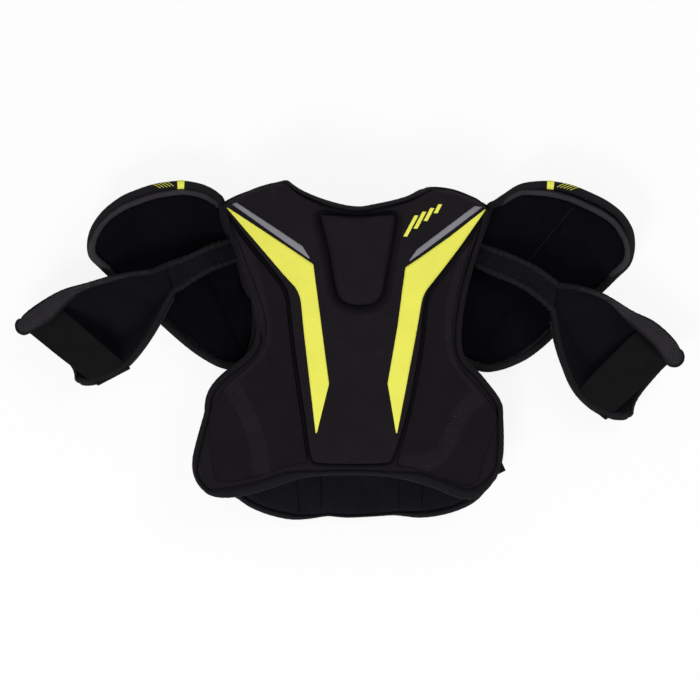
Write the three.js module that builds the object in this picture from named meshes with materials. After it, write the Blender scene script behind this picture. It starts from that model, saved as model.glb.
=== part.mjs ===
// Ice hockey shoulder pads, lying on their back as seen in a flat lay.
// Millimetres. +Z points out of the chest, +Y towards the neck, +X to the wearer's left.
// The origin is on the surface that the spine pad rests on, under the middle of the object.
import * as THREE from "three";

// Padded vest: heights of the faces and thickness of the foam
const CHEST_CROWN_Z = 104;
const CHEST_ARCH_RADIUS = 322;
const CHEST_THICK = 14;
const BACK_FLAT_HALF = 42;
const BACK_DISH_RADIUS = 420;
const BACK_THICK = 14;
const SHOULDER_SPLIT_Z = 47;
const SHOULDER_BEND = 16;
const SEAM_GAP = 0.4;

// Piping and edges
const PIPING_RADIUS = 5.2;
const PIPING_GAP = 0.5;
const PIPING_SIDES = 6;

// Raised pieces on the chest
const LAY_GAP = 0.6;
const YOKE_THICK = 5;
const RIB_PAD_THICK = 4.5;
const LOWER_PAD_THICK = 4;
const STERNUM_PLATE_THICK = 1.6;
const STERNUM_PAD_THICK = 7;
const STRIP_THICK = 0.8;

// Pieces under the back
const SPINE_PAD_THICK = 5.8;
const SPINE_PLATE_THICK = 2;

// Shoulder caps
const CAP_FLOOR_Z = 8;
const CAP_BOWL_POWER = 3;
const CAP_SHELL_THICK = 3;
const CAP_LINER_THICK = 7;
const CAP_LINER_INSET = 18;
const CAP_LINER_LIFT = 1.9;
const CAP_PIPING_RADIUS = 4.6;
const CAP_TAB_WIDTH = 8;
const CAP_TAB_THICK = 1.2;
const LEFT_CAP_SPREAD = 1;
const RIGHT_CAP_SPREAD = 1.13;

// Arm guards
const LINK_THICK = 7;
const TROUGH_THICK = 8;
const TROUGH_SHELL_THICK = 2.2;
const TROUGH_PIPING_RADIUS = 3.6;
const TROUGH_PIPING_GAP = 0.8;
const STRAP_THICK = 2.2;
const STRAP_LIFT = 5;
const HOOK_THICK = 1.4;
const STRAP_OVERHANG = 6;
const STRAP_SEAT = 2.4;

// Side straps
const SIDE_STRAP_X = 157.6;
const SIDE_STRAP_TOP_Y = -96;
const SIDE_STRAP_WIDTH = 38;
const SIDE_STRAP_THICK = 2.4;
const SIDE_STRAP_FOOT_Z = 7;
const SIDE_HOOK_LENGTH = 22;

// Colours of the finishes
const FINISH = {
  foam: { color: 0x1c1a1d, roughness: 0.85, metalness: 0 },
  mesh: { color: 0x242226, roughness: 0.9, metalness: 0 },
  piping: { color: 0x262328, roughness: 0.7, metalness: 0 },
  liner: { color: 0x0b0b0e, roughness: 0.95, metalness: 0 },
  shell: { color: 0x0f0f12, roughness: 0.6, metalness: 0 },
  plate: { color: 0x18181a, roughness: 0.5, metalness: 0 },
  elastic: { color: 0x1b181c, roughness: 0.9, metalness: 0 },
  hook: { color: 0x121214, roughness: 0.95, metalness: 0 },
  yellow: { color: 0xebec5c, roughness: 0.6, metalness: 0 },
  grey: { color: 0x8c8c90, roughness: 0.6, metalness: 0 },
};

const part = new THREE.Group();
const vector = (x, y, z) => new THREE.Vector3(x, y, z);

function addPiece(name, geometry, finish) {
  const mesh = new THREE.Mesh(geometry, new THREE.MeshStandardMaterial(FINISH[finish]));
  mesh.name = name;
  part.add(mesh);
}

// A closed body from points and triangles, turned so that its faces point out
function closedBody(points, triangles) {
  const signedVolume = triangles.reduce(
    (sum, [a, b, c]) => sum + points[a].dot(vector().crossVectors(points[b], points[c])),
    0,
  );
  const index = triangles.flatMap(([a, b, c]) => (signedVolume < 0 ? [a, c, b] : [a, b, c]));
  const geometry = new THREE.BufferGeometry();
  geometry.setAttribute(
    "position",
    new THREE.Float32BufferAttribute(points.flatMap((p) => [p.x, p.y, p.z]), 3),
  );
  geometry.setIndex(index);
  geometry.computeVertexNormals();
  return geometry;
}

// A skin over rings of equal count, closed by a pole at each end
function ringBody(rings, firstPole, lastPole) {
  const count = rings[0].length;
  const points = rings.flat();
  const triangles = [];
  for (let r = 0; r + 1 < rings.length; r++) {
    for (let i = 0; i < count; i++) {
      const next = (i + 1) % count;
      const a = r * count + i;
      const b = r * count + next;
      triangles.push([a, b, a + count], [b, b + count, a + count]);
    }
  }
  const last = (rings.length - 1) * count;
  const poles = points.push(firstPole, lastPole) - 2;
  for (let i = 0; i < count; i++) {
    const next = (i + 1) % count;
    triangles.push([poles, next, i], [poles + 1, last + i, last + next]);
  }
  return closedBody(points, triangles);
}

// A body between two grids of equal size, with walls round the edge
function slabBody(upper, lower) {
  const rows = upper.length;
  const cols = upper[0].length;
  const points = [...upper.flat(), ...lower.flat()];
  const under = rows * cols;
  const triangles = [];
  const quad = (a, b, c, d) => triangles.push([a, b, c], [a, c, d]);
  for (let r = 0; r + 1 < rows; r++) {
    for (let c = 0; c + 1 < cols; c++) {
      const a = r * cols + c;
      quad(a, a + 1, a + cols + 1, a + cols);
      quad(under + a, under + a + cols, under + a + cols + 1, under + a + 1);
    }
  }
  for (let c = 0; c + 1 < cols; c++) {
    const far = (rows - 1) * cols + c;
    quad(c + 1, c, under + c, under + c + 1);
    quad(far, far + 1, under + far + 1, under + far);
  }
  for (let r = 0; r + 1 < rows; r++) {
    const near = r * cols;
    const far = near + cols - 1;
    quad(near, near + cols, under + near + cols, under + near);
    quad(far + cols, far, under + far, under + far + cols);
  }
  return closedBody(points, triangles);
}

// A sheet that follows a middle surface, from below to above along its normal. Where a seam
// direction is given, the first row's wall stands square to it.
const WHOLE = { u0: 0, u1: 1, v0: 0, v1: 1 };
const SLOPE_STEP = 0.002;
function sheetBody(surface, uSteps, vSteps, below, above, span = WHOLE, seamDirection = null) {
  const lay = (offset) =>
    Array.from({ length: uSteps + 1 }, (_, i) =>
      Array.from({ length: vSteps + 1 }, (_, j) => {
        const u = THREE.MathUtils.lerp(span.u0, span.u1, i / uSteps);
        const v = THREE.MathUtils.lerp(span.v0, span.v1, j / vSteps);
        const along = surface(u + SLOPE_STEP, v).sub(surface(u - SLOPE_STEP, v));
        const across = surface(u, v + SLOPE_STEP).sub(surface(u, v - SLOPE_STEP));
        const normal = along.cross(across).normalize();
        if (i === 0 && seamDirection) normal.projectOnPlane(seamDirection).normalize();
        return surface(u, v).addScaledVector(normal, offset);
      }),
    );
  return slabBody(lay(above), lay(below));
}

// Round piping along a line, open at both ends or closed on itself
function pipingBody(line, radius, closed, sides = PIPING_SIDES) {
  const count = line.length;
  const rings = line.map((centre, i) => {
    const before = line[closed ? (i + count - 1) % count : Math.max(i - 1, 0)];
    const after = line[closed ? (i + 1) % count : Math.min(i + 1, count - 1)];
    const along = after.clone().sub(before).normalize();
    const side = vector(0, 0, 1).cross(along).normalize();
    const up = along.clone().cross(side);
    return Array.from({ length: sides }, (_, k) => {
      const angle = (2 * Math.PI * k) / sides;
      return centre
        .clone()
        .addScaledVector(side, radius * Math.cos(angle))
        .addScaledVector(up, radius * Math.sin(angle));
    });
  });
  if (!closed) return ringBody(rings, line[0], line[count - 1]);
  const points = rings.flat();
  const triangles = [];
  for (let r = 0; r < count; r++) {
    for (let k = 0; k < sides; k++) {
      const a = r * sides + k;
      const b = r * sides + ((k + 1) % sides);
      const c = ((r + 1) % count) * sides + k;
      const d = ((r + 1) % count) * sides + ((k + 1) % sides);
      triangles.push([a, b, c], [b, d, c]);
    }
  }
  return closedBody(points, triangles);
}

// Evenly spaced points on a smooth closed outline
function outlineOf(points, count) {
  const curve = new THREE.CatmullRomCurve3(points, true, "catmullrom", 0.5);
  return curve.getSpacedPoints(count).slice(0, count);
}

// Both halves of a symmetric outline, from the half on the +X side
function mirrored(half) {
  const right = half.map(([x, y, w = 0]) => vector(x, y, w));
  const left = half.slice(1, -1).map(([x, y, w = 0]) => vector(-x, y, w));
  return [...right, ...left.reverse()];
}

// The least share of an inset that lies along the ray to the centre
const STEEPEST_INSET = 0.33;

// Moves outline points towards the centre until they lie an inset inside the edge
function insetOutline(outline, centre, inset) {
  const count = outline.length;
  return outline.map((point, i) => {
    const along = outline[(i + 1) % count].clone().sub(outline[(i + count - 1) % count]);
    const normal = vector(along.y, -along.x, 0).normalize();
    const ray = vector(point.x - centre.x, point.y - centre.y, 0).normalize();
    const facing = Math.max(Math.abs(normal.dot(ray)), STEEPEST_INSET);
    const amount = typeof inset === "function" ? inset(point) : inset;
    return point.clone().addScaledVector(ray, -amount / facing);
  });
}

// The closed line that runs a distance outside a closed outline, parallel to each stretch
function besideOutline(outline, distance) {
  const count = outline.length;
  const flatNormal = (a, b) => vector(b.y - a.y, a.x - b.x, 0).normalize();
  const area = outline.reduce((sum, p, i) => {
    const next = outline[(i + 1) % count];
    return sum + p.x * next.y - next.x * p.y;
  }, 0);
  return outline.map((p, i) => {
    const before = flatNormal(outline[(i + count - 1) % count], p);
    const after = flatNormal(p, outline[(i + 1) % count]);
    const mitre = before.clone().add(after).normalize();
    const reach = (Math.sign(area) * distance) / mitre.dot(after);
    return p.clone().addScaledVector(mitre, reach);
  });
}

// The vest's two faces: the chest arches up, the back dishes up at its sides
const chestFace = (x) => CHEST_CROWN_Z - (x * x) / (2 * CHEST_ARCH_RADIUS);
const BACK_FLOOR_Z = SPINE_PAD_THICK + SPINE_PLATE_THICK + 2 * SEAM_GAP;
const backFace = (x) =>
  BACK_FLOOR_Z + Math.max(0, Math.abs(x) - BACK_FLAT_HALF) ** 2 / (2 * BACK_DISH_RADIUS);

// Outlines from the neck round one side to the hem: x, y and the share of shoulder bend
const SHOULDER_LINE = [
  [78, 179, 1],
  [92, 179.5, 1],
  [110, 175, 1],
  [128, 168, 1],
  [140, 161.5, 1],
];
const CHEST_HALF = [
  [0, 156],
  [28, 160.5],
  [50, 168],
  [66, 176, 0.4],
  ...SHOULDER_LINE,
  [146.5, 154],
  [141.5, 135],
  [134.5, 114],
  [121.5, 70],
  [113.5, 31],
  [115, 6],
  [121.5, -7],
  [132, -18],
  [147.5, -31],
  [157.5, -45],
  [164, -63],
  [168, -83],
  [171.5, -112],
  [170, -136],
  [161, -151],
  [147, -161],
  [131, -164],
  [112, -160],
  [90, -151.5],
  [68, -144],
  [40, -138.5],
  [0, -136.5],
];
const BACK_HALF = [
  [0, 150],
  [30, 155],
  [52, 165],
  [66, 175, 0.4],
  ...SHOULDER_LINE,
  [143.5, 152],
  [134, 132],
  [124, 112],
  [110, 70],
  [102, 31],
  [101, 6],
  [108, -20],
  [122, -38],
  [138, -56],
  [149, -80],
  [154, -108],
  [154, -130],
  [149, -148],
  [137, -162],
  [118, -174],
  [94, -183],
  [70, -186.5],
  [45, -184],
  [22, -183.5],
  [0, -184.5],
];
const VEST_CENTRE = vector(0, 20, 0);
const PANEL_POINTS = 64;
const PANEL_OUTER_RINGS = 5;
const PANEL_INNER_RINGS = 2;
const INNER_BEND = 9;

const bendShare = (p) => THREE.MathUtils.clamp(p.z, 0, 1);

// The panel's wall: inside the piping, but out at the silhouette where it bends over
function panelWall(silhouette) {
  const pipingWidth = 2 * PIPING_RADIUS + PIPING_GAP;
  return insetOutline(silhouette, VEST_CENTRE, (p) => pipingWidth * (1 - bendShare(p)));
}

// One padded panel of the vest, whose shoulder part bends over to the split plane
function panelBody(silhouette, face, inward, thick) {
  const edge = panelWall(silhouette);
  const splitZ = SHOULDER_SPLIT_Z - (inward * SEAM_GAP) / 2;
  // Rows of a soft edge and of a bent shoulder: inset, and depth below the outer face
  const outerRows = [
    { edgeInset: SHOULDER_BEND, edgeDepth: 0, bendInset: SHOULDER_BEND, bendDepth: 0 },
    { edgeInset: 8, edgeDepth: 0.6, bendInset: 8, bendDepth: 2.2 },
    { edgeInset: 2.5, edgeDepth: 2.2, bendInset: 2.5, bendDepth: 7.5 },
    { edgeInset: 0, edgeDepth: 5, bendInset: 0, bendDepth: SHOULDER_BEND },
    { edgeInset: 0, edgeDepth: thick - 4, bendInset: 0, bendDepth: null },
  ];
  const innerRow = thick + 6;
  const innerRows = [
    { edgeInset: 0.8, edgeDepth: thick - 1.5, bendInset: thick, bendDepth: null },
    { edgeInset: 3, edgeDepth: thick, bendInset: thick, bendDepth: thick + INNER_BEND },
    { edgeInset: innerRow, edgeDepth: thick, bendInset: innerRow, bendDepth: thick },
  ];
  const rowRing = ({ edgeInset, edgeDepth, bendInset, bendDepth }) =>
    insetOutline(edge, VEST_CENTRE, (p) =>
      THREE.MathUtils.lerp(edgeInset, bendInset, bendShare(p)),
    ).map((p, i) => {
      const outer = face(p.x);
      const soft = outer + inward * edgeDepth;
      const bent = bendDepth === null ? splitZ : outer + inward * bendDepth;
      return vector(p.x, p.y, THREE.MathUtils.lerp(soft, bent, bendShare(edge[i])));
    });
  const fill = (ring, depth, count) =>
    Array.from({ length: count }, (_, k) =>
      ring.map((p) => {
        const flat = vector(p.x, p.y, 0).lerp(VEST_CENTRE, (k + 1) / (count + 1));
        return flat.setZ(face(flat.x) + inward * depth);
      }),
    );
  const outerRings = outerRows.map(rowRing);
  const innerRings = innerRows.map(rowRing);
  const rings = [
    ...fill(outerRings[0], 0, PANEL_OUTER_RINGS).reverse(),
    ...outerRings,
    ...innerRings,
    ...fill(innerRings[innerRings.length - 1], thick, PANEL_INNER_RINGS),
  ];
  const pole = (depth) => vector(VEST_CENTRE.x, VEST_CENTRE.y, face(0) + inward * depth);
  return ringBody(rings, pole(0), pole(thick));
}

// Piping beside the panel's wall, over the stretch of outline that the test picks
function panelPiping(silhouette, face, inward, thick, picks) {
  const centres = besideOutline(panelWall(silhouette), PIPING_RADIUS + PIPING_GAP);
  const start = centres.findIndex((p, i) => picks(p) && !picks(centres.at(i - 1)));
  const line = [];
  for (let i = start; picks(centres[i % centres.length]); i++) {
    const p = centres[i % centres.length];
    line.push(vector(p.x, p.y, face(p.x) + (inward * thick) / 2));
  }
  return pipingBody(line, PIPING_RADIUS, false);
}

const NECK_PIPING_HALF = 49;
const EDGE_PIPING_TOP_Y = 150;
const isNeck = (p) => Math.abs(p.x) < NECK_PIPING_HALF && p.y > 0;
const isSide = (p) => p.y < EDGE_PIPING_TOP_Y && !isNeck(p);

const chestSilhouette = outlineOf(mirrored(CHEST_HALF), PANEL_POINTS);
const backSilhouette = outlineOf(mirrored(BACK_HALF), PANEL_POINTS);
addPiece("chest_panel", panelBody(chestSilhouette, chestFace, -1, CHEST_THICK), "foam");
addPiece("back_panel", panelBody(backSilhouette, backFace, 1, BACK_THICK), "foam");
for (const [side, silhouette, face, inward, thick] of [
  ["chest", chestSilhouette, chestFace, -1, CHEST_THICK],
  ["back", backSilhouette, backFace, 1, BACK_THICK],
]) {
  const neck = panelPiping(silhouette, face, inward, thick, isNeck);
  const edge = panelPiping(silhouette, face, inward, thick, isSide);
  addPiece(side + "_neck_piping", neck, "piping");
  addPiece(side + "_edge_piping", edge, "piping");
}

// Rows down a soft pad's side: inset from the outline, and share of the thickness
const PAD_ROWS = [
  { inset: 12, rise: 1 },
  { inset: 5, rise: 0.94 },
  { inset: 1.2, rise: 0.7 },
  { inset: 0, rise: 0.4 },
];
const SKIRT_WIDTH = 4.2;

// A soft pad laid on a face, with a crowned top and drawn-in sides. A skirt takes its edge
// down past a plate that lies under its middle.
function padBody(outline, centre, floor, outward, thick, rings, skirt = 0) {
  const skirtRows = skirt > 0 ? [{ inset: SKIRT_WIDTH, rise: 0 }] : [];
  const rows = [...PAD_ROWS, { inset: 0.6, rise: -skirt / thick }, ...skirtRows];
  const place = (p, rise) => vector(p.x, p.y, floor(p.x, p.y) + outward * thick * rise);
  const rowRings = rows.map(({ inset, rise }) =>
    insetOutline(outline, centre, inset).map((p) => place(p, rise)),
  );
  const fill = (ring, rise) =>
    Array.from({ length: rings }, (_, k) =>
      ring.map((p) => place(p.clone().lerp(centre, (k + 1) / (rings + 1)), rise)),
    );
  const all = [
    ...fill(rowRings[0], 1).reverse(),
    ...rowRings,
    ...fill(rowRings[rowRings.length - 1], 0),
  ];
  return ringBody(all, place(centre, 1), place(centre, 0));
}

// Front yoke, raised between the yellow strips from the neck to the belly
const YOKE_HALF = [
  [0, 140],
  [34, 145],
  [58, 155],
  [80, 162],
  [106, 158],
  [126, 149],
  [128, 141],
  [104, 107],
  [80, 73],
  [72, 60],
  [66, 42],
  [58, -8],
  [52, -56],
  [51, -108],
  [44, -121],
  [0, -124],
];
const yokeFloor = (x) => chestFace(x) + LAY_GAP;
const yokeTop = (x) => yokeFloor(x) + YOKE_THICK;
const yokeOutline = outlineOf(mirrored(YOKE_HALF), 46);
const yoke = padBody(yokeOutline, VEST_CENTRE, yokeFloor, 1, YOKE_THICK, 5);
addPiece("front_yoke", yoke, "foam");

// Sternum plate and the pad over it, with a rounded lower end
const STERNUM_HALF = [
  [0, 132],
  [36, 132],
  [41, 126],
  [34, 92],
  [26, 60],
  [18, 49],
  [0, 46],
];
const STERNUM_CENTRE = vector(0, 92, 0);
const STERNUM_PLATE_INSET = 7;
const sternumOutline = outlineOf(mirrored(STERNUM_HALF), 28);
const plateOutline = insetOutline(sternumOutline, STERNUM_CENTRE, STERNUM_PLATE_INSET);
const plateFloor = (x) => yokeTop(x) + LAY_GAP;
const sternumFloor = (x) => plateFloor(x) + STERNUM_PLATE_THICK + LAY_GAP;
const sternumPlate = padBody(plateOutline, STERNUM_CENTRE, plateFloor, 1, STERNUM_PLATE_THICK, 1);
const sternumSkirt = STERNUM_PLATE_THICK + LAY_GAP;
const sternumPad = padBody(
  sternumOutline,
  STERNUM_CENTRE,
  sternumFloor,
  1,
  STERNUM_PAD_THICK,
  1,
  sternumSkirt,
);
addPiece("sternum_plate", sternumPlate, "plate");
addPiece("sternum_pad", sternumPad, "foam");

// Rib pads beside the armholes and lower pads above the hem, left and right alike
const RIB_PAD = [
  [124, 134],
  [118, 112],
  [107, 72],
  [99, 32],
  [99, 4],
  [104, -22],
  [117, -42],
  [108, -58],
  [84, -66],
  [62, -50],
  [66, 0],
  [74, 40],
  [87, 68],
  [108, 100],
];
const LOWER_PAD = [
  [68, -74],
  [108, -68],
  [137, -49],
  [149, -72],
  [156, -108],
  [153, -134],
  [138, -146],
  [118, -146],
  [92, -136],
  [70, -130],
  [62, -120],
  [60, -96],
];
const RIB_PAD_CENTRE = [86, 0];
const LOWER_PAD_CENTRE = [106, -105];

// Yellow strips: outer and inner edge from the shoulder to the lower tip
const STRIP_OUTER = [
  [116, 142],
  [96, 114],
  [76.5, 84],
  [68.5, 70],
  [62, 52],
  [60, 40],
  [53, -6],
  [47, -54],
  [43, -86],
];
const STRIP_INNER = [
  [114, 143.5],
  [94, 126],
  [70, 106],
  [51, 91],
  [48, 70],
  [44.5, 46],
  [38, 0],
  [31.5, -38],
  [41, -86],
];
// Grey stripe, parallel to the top of the yellow strip
const STRIPE_UPPER = [
  [112, 153],
  [62, 114],
  [52, 103.5],
];
const STRIPE_LOWER = [
  [114, 147.5],
  [61, 107.5],
  [51, 97],
];
// Bars of the generic mark, on the right shoulder only
const MARK_BARS = 4;
const MARK_START = [55, 122];
const MARK_PITCH = 11;
const MARK_WIDTH = 6;
const MARK_LONGEST = 26;
const MARK_SHORTER = 5;
const MARK_RISE = 8.5;
const MARK_SLANT = THREE.MathUtils.degToRad(62);

// A point at share v of an open chain of points
function alongChain(chain, v) {
  const place = THREE.MathUtils.clamp(v, 0, 1) * (chain.length - 1);
  const i = Math.min(Math.floor(place), chain.length - 2);
  const [ax, ay] = chain[i];
  const [bx, by] = chain[i + 1];
  return [
    THREE.MathUtils.lerp(ax, bx, place - i),
    THREE.MathUtils.lerp(ay, by, place - i),
  ];
}

// A thin strip between two chains, laid on the yoke
function stripBody(outer, inner, mirror, across, along) {
  const floor = (x) => yokeTop(x) + LAY_GAP;
  const grid = (rise) =>
    Array.from({ length: along + 1 }, (_, j) =>
      Array.from({ length: across + 1 }, (_, i) => {
        const [ox, oy] = alongChain(outer, j / along);
        const [nx, ny] = alongChain(inner, j / along);
        const x = mirror * THREE.MathUtils.lerp(ox, nx, i / across);
        return vector(x, THREE.MathUtils.lerp(oy, ny, i / across), floor(x) + rise);
      }),
    );
  return slabBody(grid(STRIP_THICK), grid(0));
}

for (const [side, mirror] of [
  ["left", -1],
  ["right", 1],
]) {
  const flip = ([x, y]) => vector(mirror * x, y, 0);
  const onChest = (x) => chestFace(x) + LAY_GAP;
  const rib = outlineOf(RIB_PAD.map(flip), 30);
  const lower = outlineOf(LOWER_PAD.map(flip), 26);
  const ribPad = padBody(rib, flip(RIB_PAD_CENTRE), onChest, 1, RIB_PAD_THICK, 2);
  const lowerPad = padBody(lower, flip(LOWER_PAD_CENTRE), onChest, 1, LOWER_PAD_THICK, 2);
  addPiece(side + "_rib_pad", ribPad, "mesh");
  addPiece(side + "_lower_pad", lowerPad, "foam");
  addPiece(side + "_yellow_strip", stripBody(STRIP_OUTER, STRIP_INNER, mirror, 2, 16), "yellow");
  addPiece(side + "_grey_stripe", stripBody(STRIPE_UPPER, STRIPE_LOWER, mirror, 2, 8), "grey");
}

// The mark's slanted bars, each shorter than the one before
for (let k = 0; k < MARK_BARS; k++) {
  const length = MARK_LONGEST - k * MARK_SHORTER;
  const start = [MARK_START[0] + k * MARK_PITCH, MARK_START[1] + k * MARK_RISE];
  const end = [
    start[0] + length * Math.cos(MARK_SLANT),
    start[1] + length * Math.sin(MARK_SLANT),
  ];
  const wide = ([x, y]) => [x + MARK_WIDTH, y];
  const bar = stripBody([start, end], [wide(start), wide(end)], 1, 1, 2);
  addPiece("mark_bar_" + (k + 1), bar, "yellow");
}

// Spine pad with the flat face that the object rests on, and the plate over it
const SPINE_HALF = [
  [0, 122],
  [24, 118],
  [36, 100],
  [40, 40],
  [40, -90],
  [33, -120],
  [0, -128],
];
const SPINE_CENTRE = vector(0, 0, 0);
const SPINE_PLATE_INSET = 7;
const spineOutline = outlineOf(mirrored(SPINE_HALF), 28);
const spinePlateOutline = insetOutline(spineOutline, SPINE_CENTRE, SPINE_PLATE_INSET);
const spinePadTop = () => SPINE_PAD_THICK;
const spinePlateTop = () => SPINE_PAD_THICK + SEAM_GAP + SPINE_PLATE_THICK;
const spineSkirt = SPINE_PLATE_THICK + SEAM_GAP;
const spinePad = padBody(
  spineOutline,
  SPINE_CENTRE,
  spinePadTop,
  -1,
  SPINE_PAD_THICK,
  2,
  spineSkirt,
);
const spinePlate = padBody(spinePlateOutline, SPINE_CENTRE, spinePlateTop, -1, SPINE_PLATE_THICK, 1);
addPiece("spine_pad", spinePad, "foam");
addPiece("spine_plate", spinePlate, "plate");

// Shoulder caps: bowls that open upwards, given by the rim of the left one
const CAP_RIM = [
  [148, 161, 46],
  [165, 179, 52],
  [187.5, 185.5, 56],
  [220.5, 181.5, 58],
  [255, 168, 58],
  [279, 148.5, 57],
  [291, 122, 54],
  [289, 98, 42],
  [270, 80, 24],
  [239, 52, 15],
  [212, 27.5, 17],
  [184, 3.5, 30],
  [151, -16.5, 36],
  [124, -23, 34],
  [108, -8, 28],
  [101.9, 30, 25],
  [111.2, 68, 25],
  [127, 108, 28],
  [139, 136, 36],
];
const CAP_ROOT_X = 103;
const CAP_CENTRE = [190, 82];
const CAP_RIM_POINTS = 34;
const CAP_PIPING_GAP = 0.7;
const CAP_PIPING_RISE = 3;

function capOf(mirror, spread) {
  const spreadX = (x) => mirror * (CAP_ROOT_X + (x - CAP_ROOT_X) * spread);
  const rim = outlineOf(CAP_RIM.map(([x, y, z]) => vector(spreadX(x), y, z)), CAP_RIM_POINTS);
  const centre = vector(spreadX(CAP_CENTRE[0]), CAP_CENTRE[1], 0);
  // Height of the shell's inner face, and its slope, at a share of the way out to the rim
  const heightAt = (p, share) => CAP_FLOOR_Z + (p.z - CAP_FLOOR_Z) * share ** CAP_BOWL_POWER;
  const reachOf = (p) => Math.hypot(p.x - centre.x, p.y - centre.y);
  const slopeAt = (p, share) =>
    ((p.z - CAP_FLOOR_Z) * CAP_BOWL_POWER * share ** (CAP_BOWL_POWER - 1)) / reachOf(p);
  const ringAt = (shareOf, lift) =>
    rim.map((p, i) => {
      const share = shareOf(p, i);
      const flat = vector(centre.x, centre.y, 0).lerp(vector(p.x, p.y, 0), share);
      return flat.setZ(heightAt(p, share) + lift(p, share));
    });
  const insetRing = insetOutline(rim, centre, 1);
  const shareInset = (inset) => (p, i) => {
    const perMillimetre = p.distanceTo(insetRing[i]);
    return 1 - (inset * perMillimetre) / reachOf(p);
  };
  const linerEdge = shareInset(CAP_LINER_INSET);
  const linerShares = [0.4, 0.7, 0.88, 1].map((s) => (p, i) => s * linerEdge(p, i));
  const rimShares = [0.5, 1].map((s) => (p, i) => THREE.MathUtils.lerp(linerEdge(p, i), 1, s));
  const bowl = (shares, above, below) => {
    const upper = shares.map((share) => ringAt(share, () => above));
    const lower = shares.map((share) => ringAt(share, () => below)).reverse();
    const pole = (lift) => vector(centre.x, centre.y, CAP_FLOOR_Z + lift);
    return ringBody([...upper, ...lower], pole(above), pole(below));
  };
  const pipingSeat = CAP_PIPING_RADIUS + CAP_PIPING_GAP;
  const linerWall = ringAt(linerEdge, () => 0);
  const pipingLine = besideOutline(linerWall, pipingSeat).map((p, i) => {
    const share = reachOf(p) / reachOf(rim[i]);
    const lift = (pipingSeat + CAP_PIPING_RISE) * Math.hypot(1, slopeAt(rim[i], share));
    return p.setZ(heightAt(rim[i], share) + lift);
  });
  return {
    rim,
    centre,
    shell: bowl([...linerShares, ...rimShares], 0, -CAP_SHELL_THICK),
    liner: bowl(linerShares, CAP_LINER_LIFT + CAP_LINER_THICK, CAP_LINER_LIFT),
    piping: pipingBody(pipingLine, CAP_PIPING_RADIUS, true),
    heightAt,
    reachOf,
  };
}

// Webbing tab over the rim of a cap, beside the given rim place
function capTab(cap, nearX) {
  const top = cap.rim.filter((p) => p.y > 150);
  const seat = top.reduce((a, b) => (Math.abs(a.x - nearX) < Math.abs(b.x - nearX) ? a : b));
  const inward = vector(cap.centre.x - seat.x, cap.centre.y - seat.y, 0).normalize();
  const sideways = vector(-inward.y, inward.x, 0);
  const reach = cap.reachOf(seat);
  const grid = (lift) =>
    [1, 4, 7.5].map((inset) =>
      [-0.5, 0.5].map((half) => {
        const share = 1 - inset / reach;
        const height = cap.heightAt(seat, share) + lift;
        const p = vector(seat.x, seat.y, height).addScaledVector(inward, inset);
        return p.addScaledVector(sideways, half * CAP_TAB_WIDTH);
      }),
    );
  const clear = 1.4;
  return slabBody(grid(clear + CAP_TAB_THICK), grid(clear));
}

const LEFT_TAB_X = -189.5;
const RIGHT_TAB_X = 218;

// Arm guards: stations from the shoulder seam to the outer end, each with the upper edge,
// the lower edge, the height of the rim and the depth of the trough
const LEFT_ARM_REACH = 366;
const RIGHT_ARM_REACH = 362;
const ARM_RIM_Z = 46;
const ARM_DEPTH = 38;
const LEFT_ARM = {
  link: {
    upper: [[-128, 116], [-168, 111], [-203, 97]],
    lower: [[-124, 96], [-160, 83], [-197, 66]],
  },
  trough: [
    { upper: [-245, 84], lower: [-208, 38], rim: 51, depth: 17 },
    { upper: [-290, 73], lower: [-222, 14], rim: 51, depth: 27 },
    { upper: [-335, 58], lower: [-240, -12], rim: 48, depth: 35 },
    {
      upper: [-LEFT_ARM_REACH, 27],
      lower: [80 - LEFT_ARM_REACH, -40],
      rim: ARM_RIM_Z,
      depth: ARM_DEPTH,
    },
  ],
};
const RIGHT_ARM = {
  link: {
    upper: [[130, 112], [166, 101], [214, 79]],
    lower: [[124, 92], [166, 76], [199, 57]],
  },
  trough: [
    { upper: [250, 70], lower: [216, 30], rim: 51, depth: 17 },
    { upper: [285, 56], lower: [222, 6], rim: 51, depth: 27 },
    { upper: [330, 32], lower: [237, -26], rim: 48, depth: 35 },
    {
      upper: [RIGHT_ARM_REACH, -6],
      lower: [RIGHT_ARM_REACH - 72, -72],
      rim: ARM_RIM_Z,
      depth: ARM_DEPTH,
    },
  ],
};
const TROUGH_CURL = THREE.MathUtils.degToRad(28);
const LINK_ROOT_Z = 36.9;
const LINK_SEAM_Z = 43;
const SEAM_TROUGH_DEPTH = 5;
const LINK_SEAM_GAP = 0.9;

// A smooth value at share u of a row of numbers
function smoothAt(values, u) {
  const curve = new THREE.SplineCurve(values.map((value, i) => new THREE.Vector2(i, value)));
  return curve.getPoint(u).y;
}

const flatPoint = ([x, y]) => vector(x, y, 0);

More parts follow.
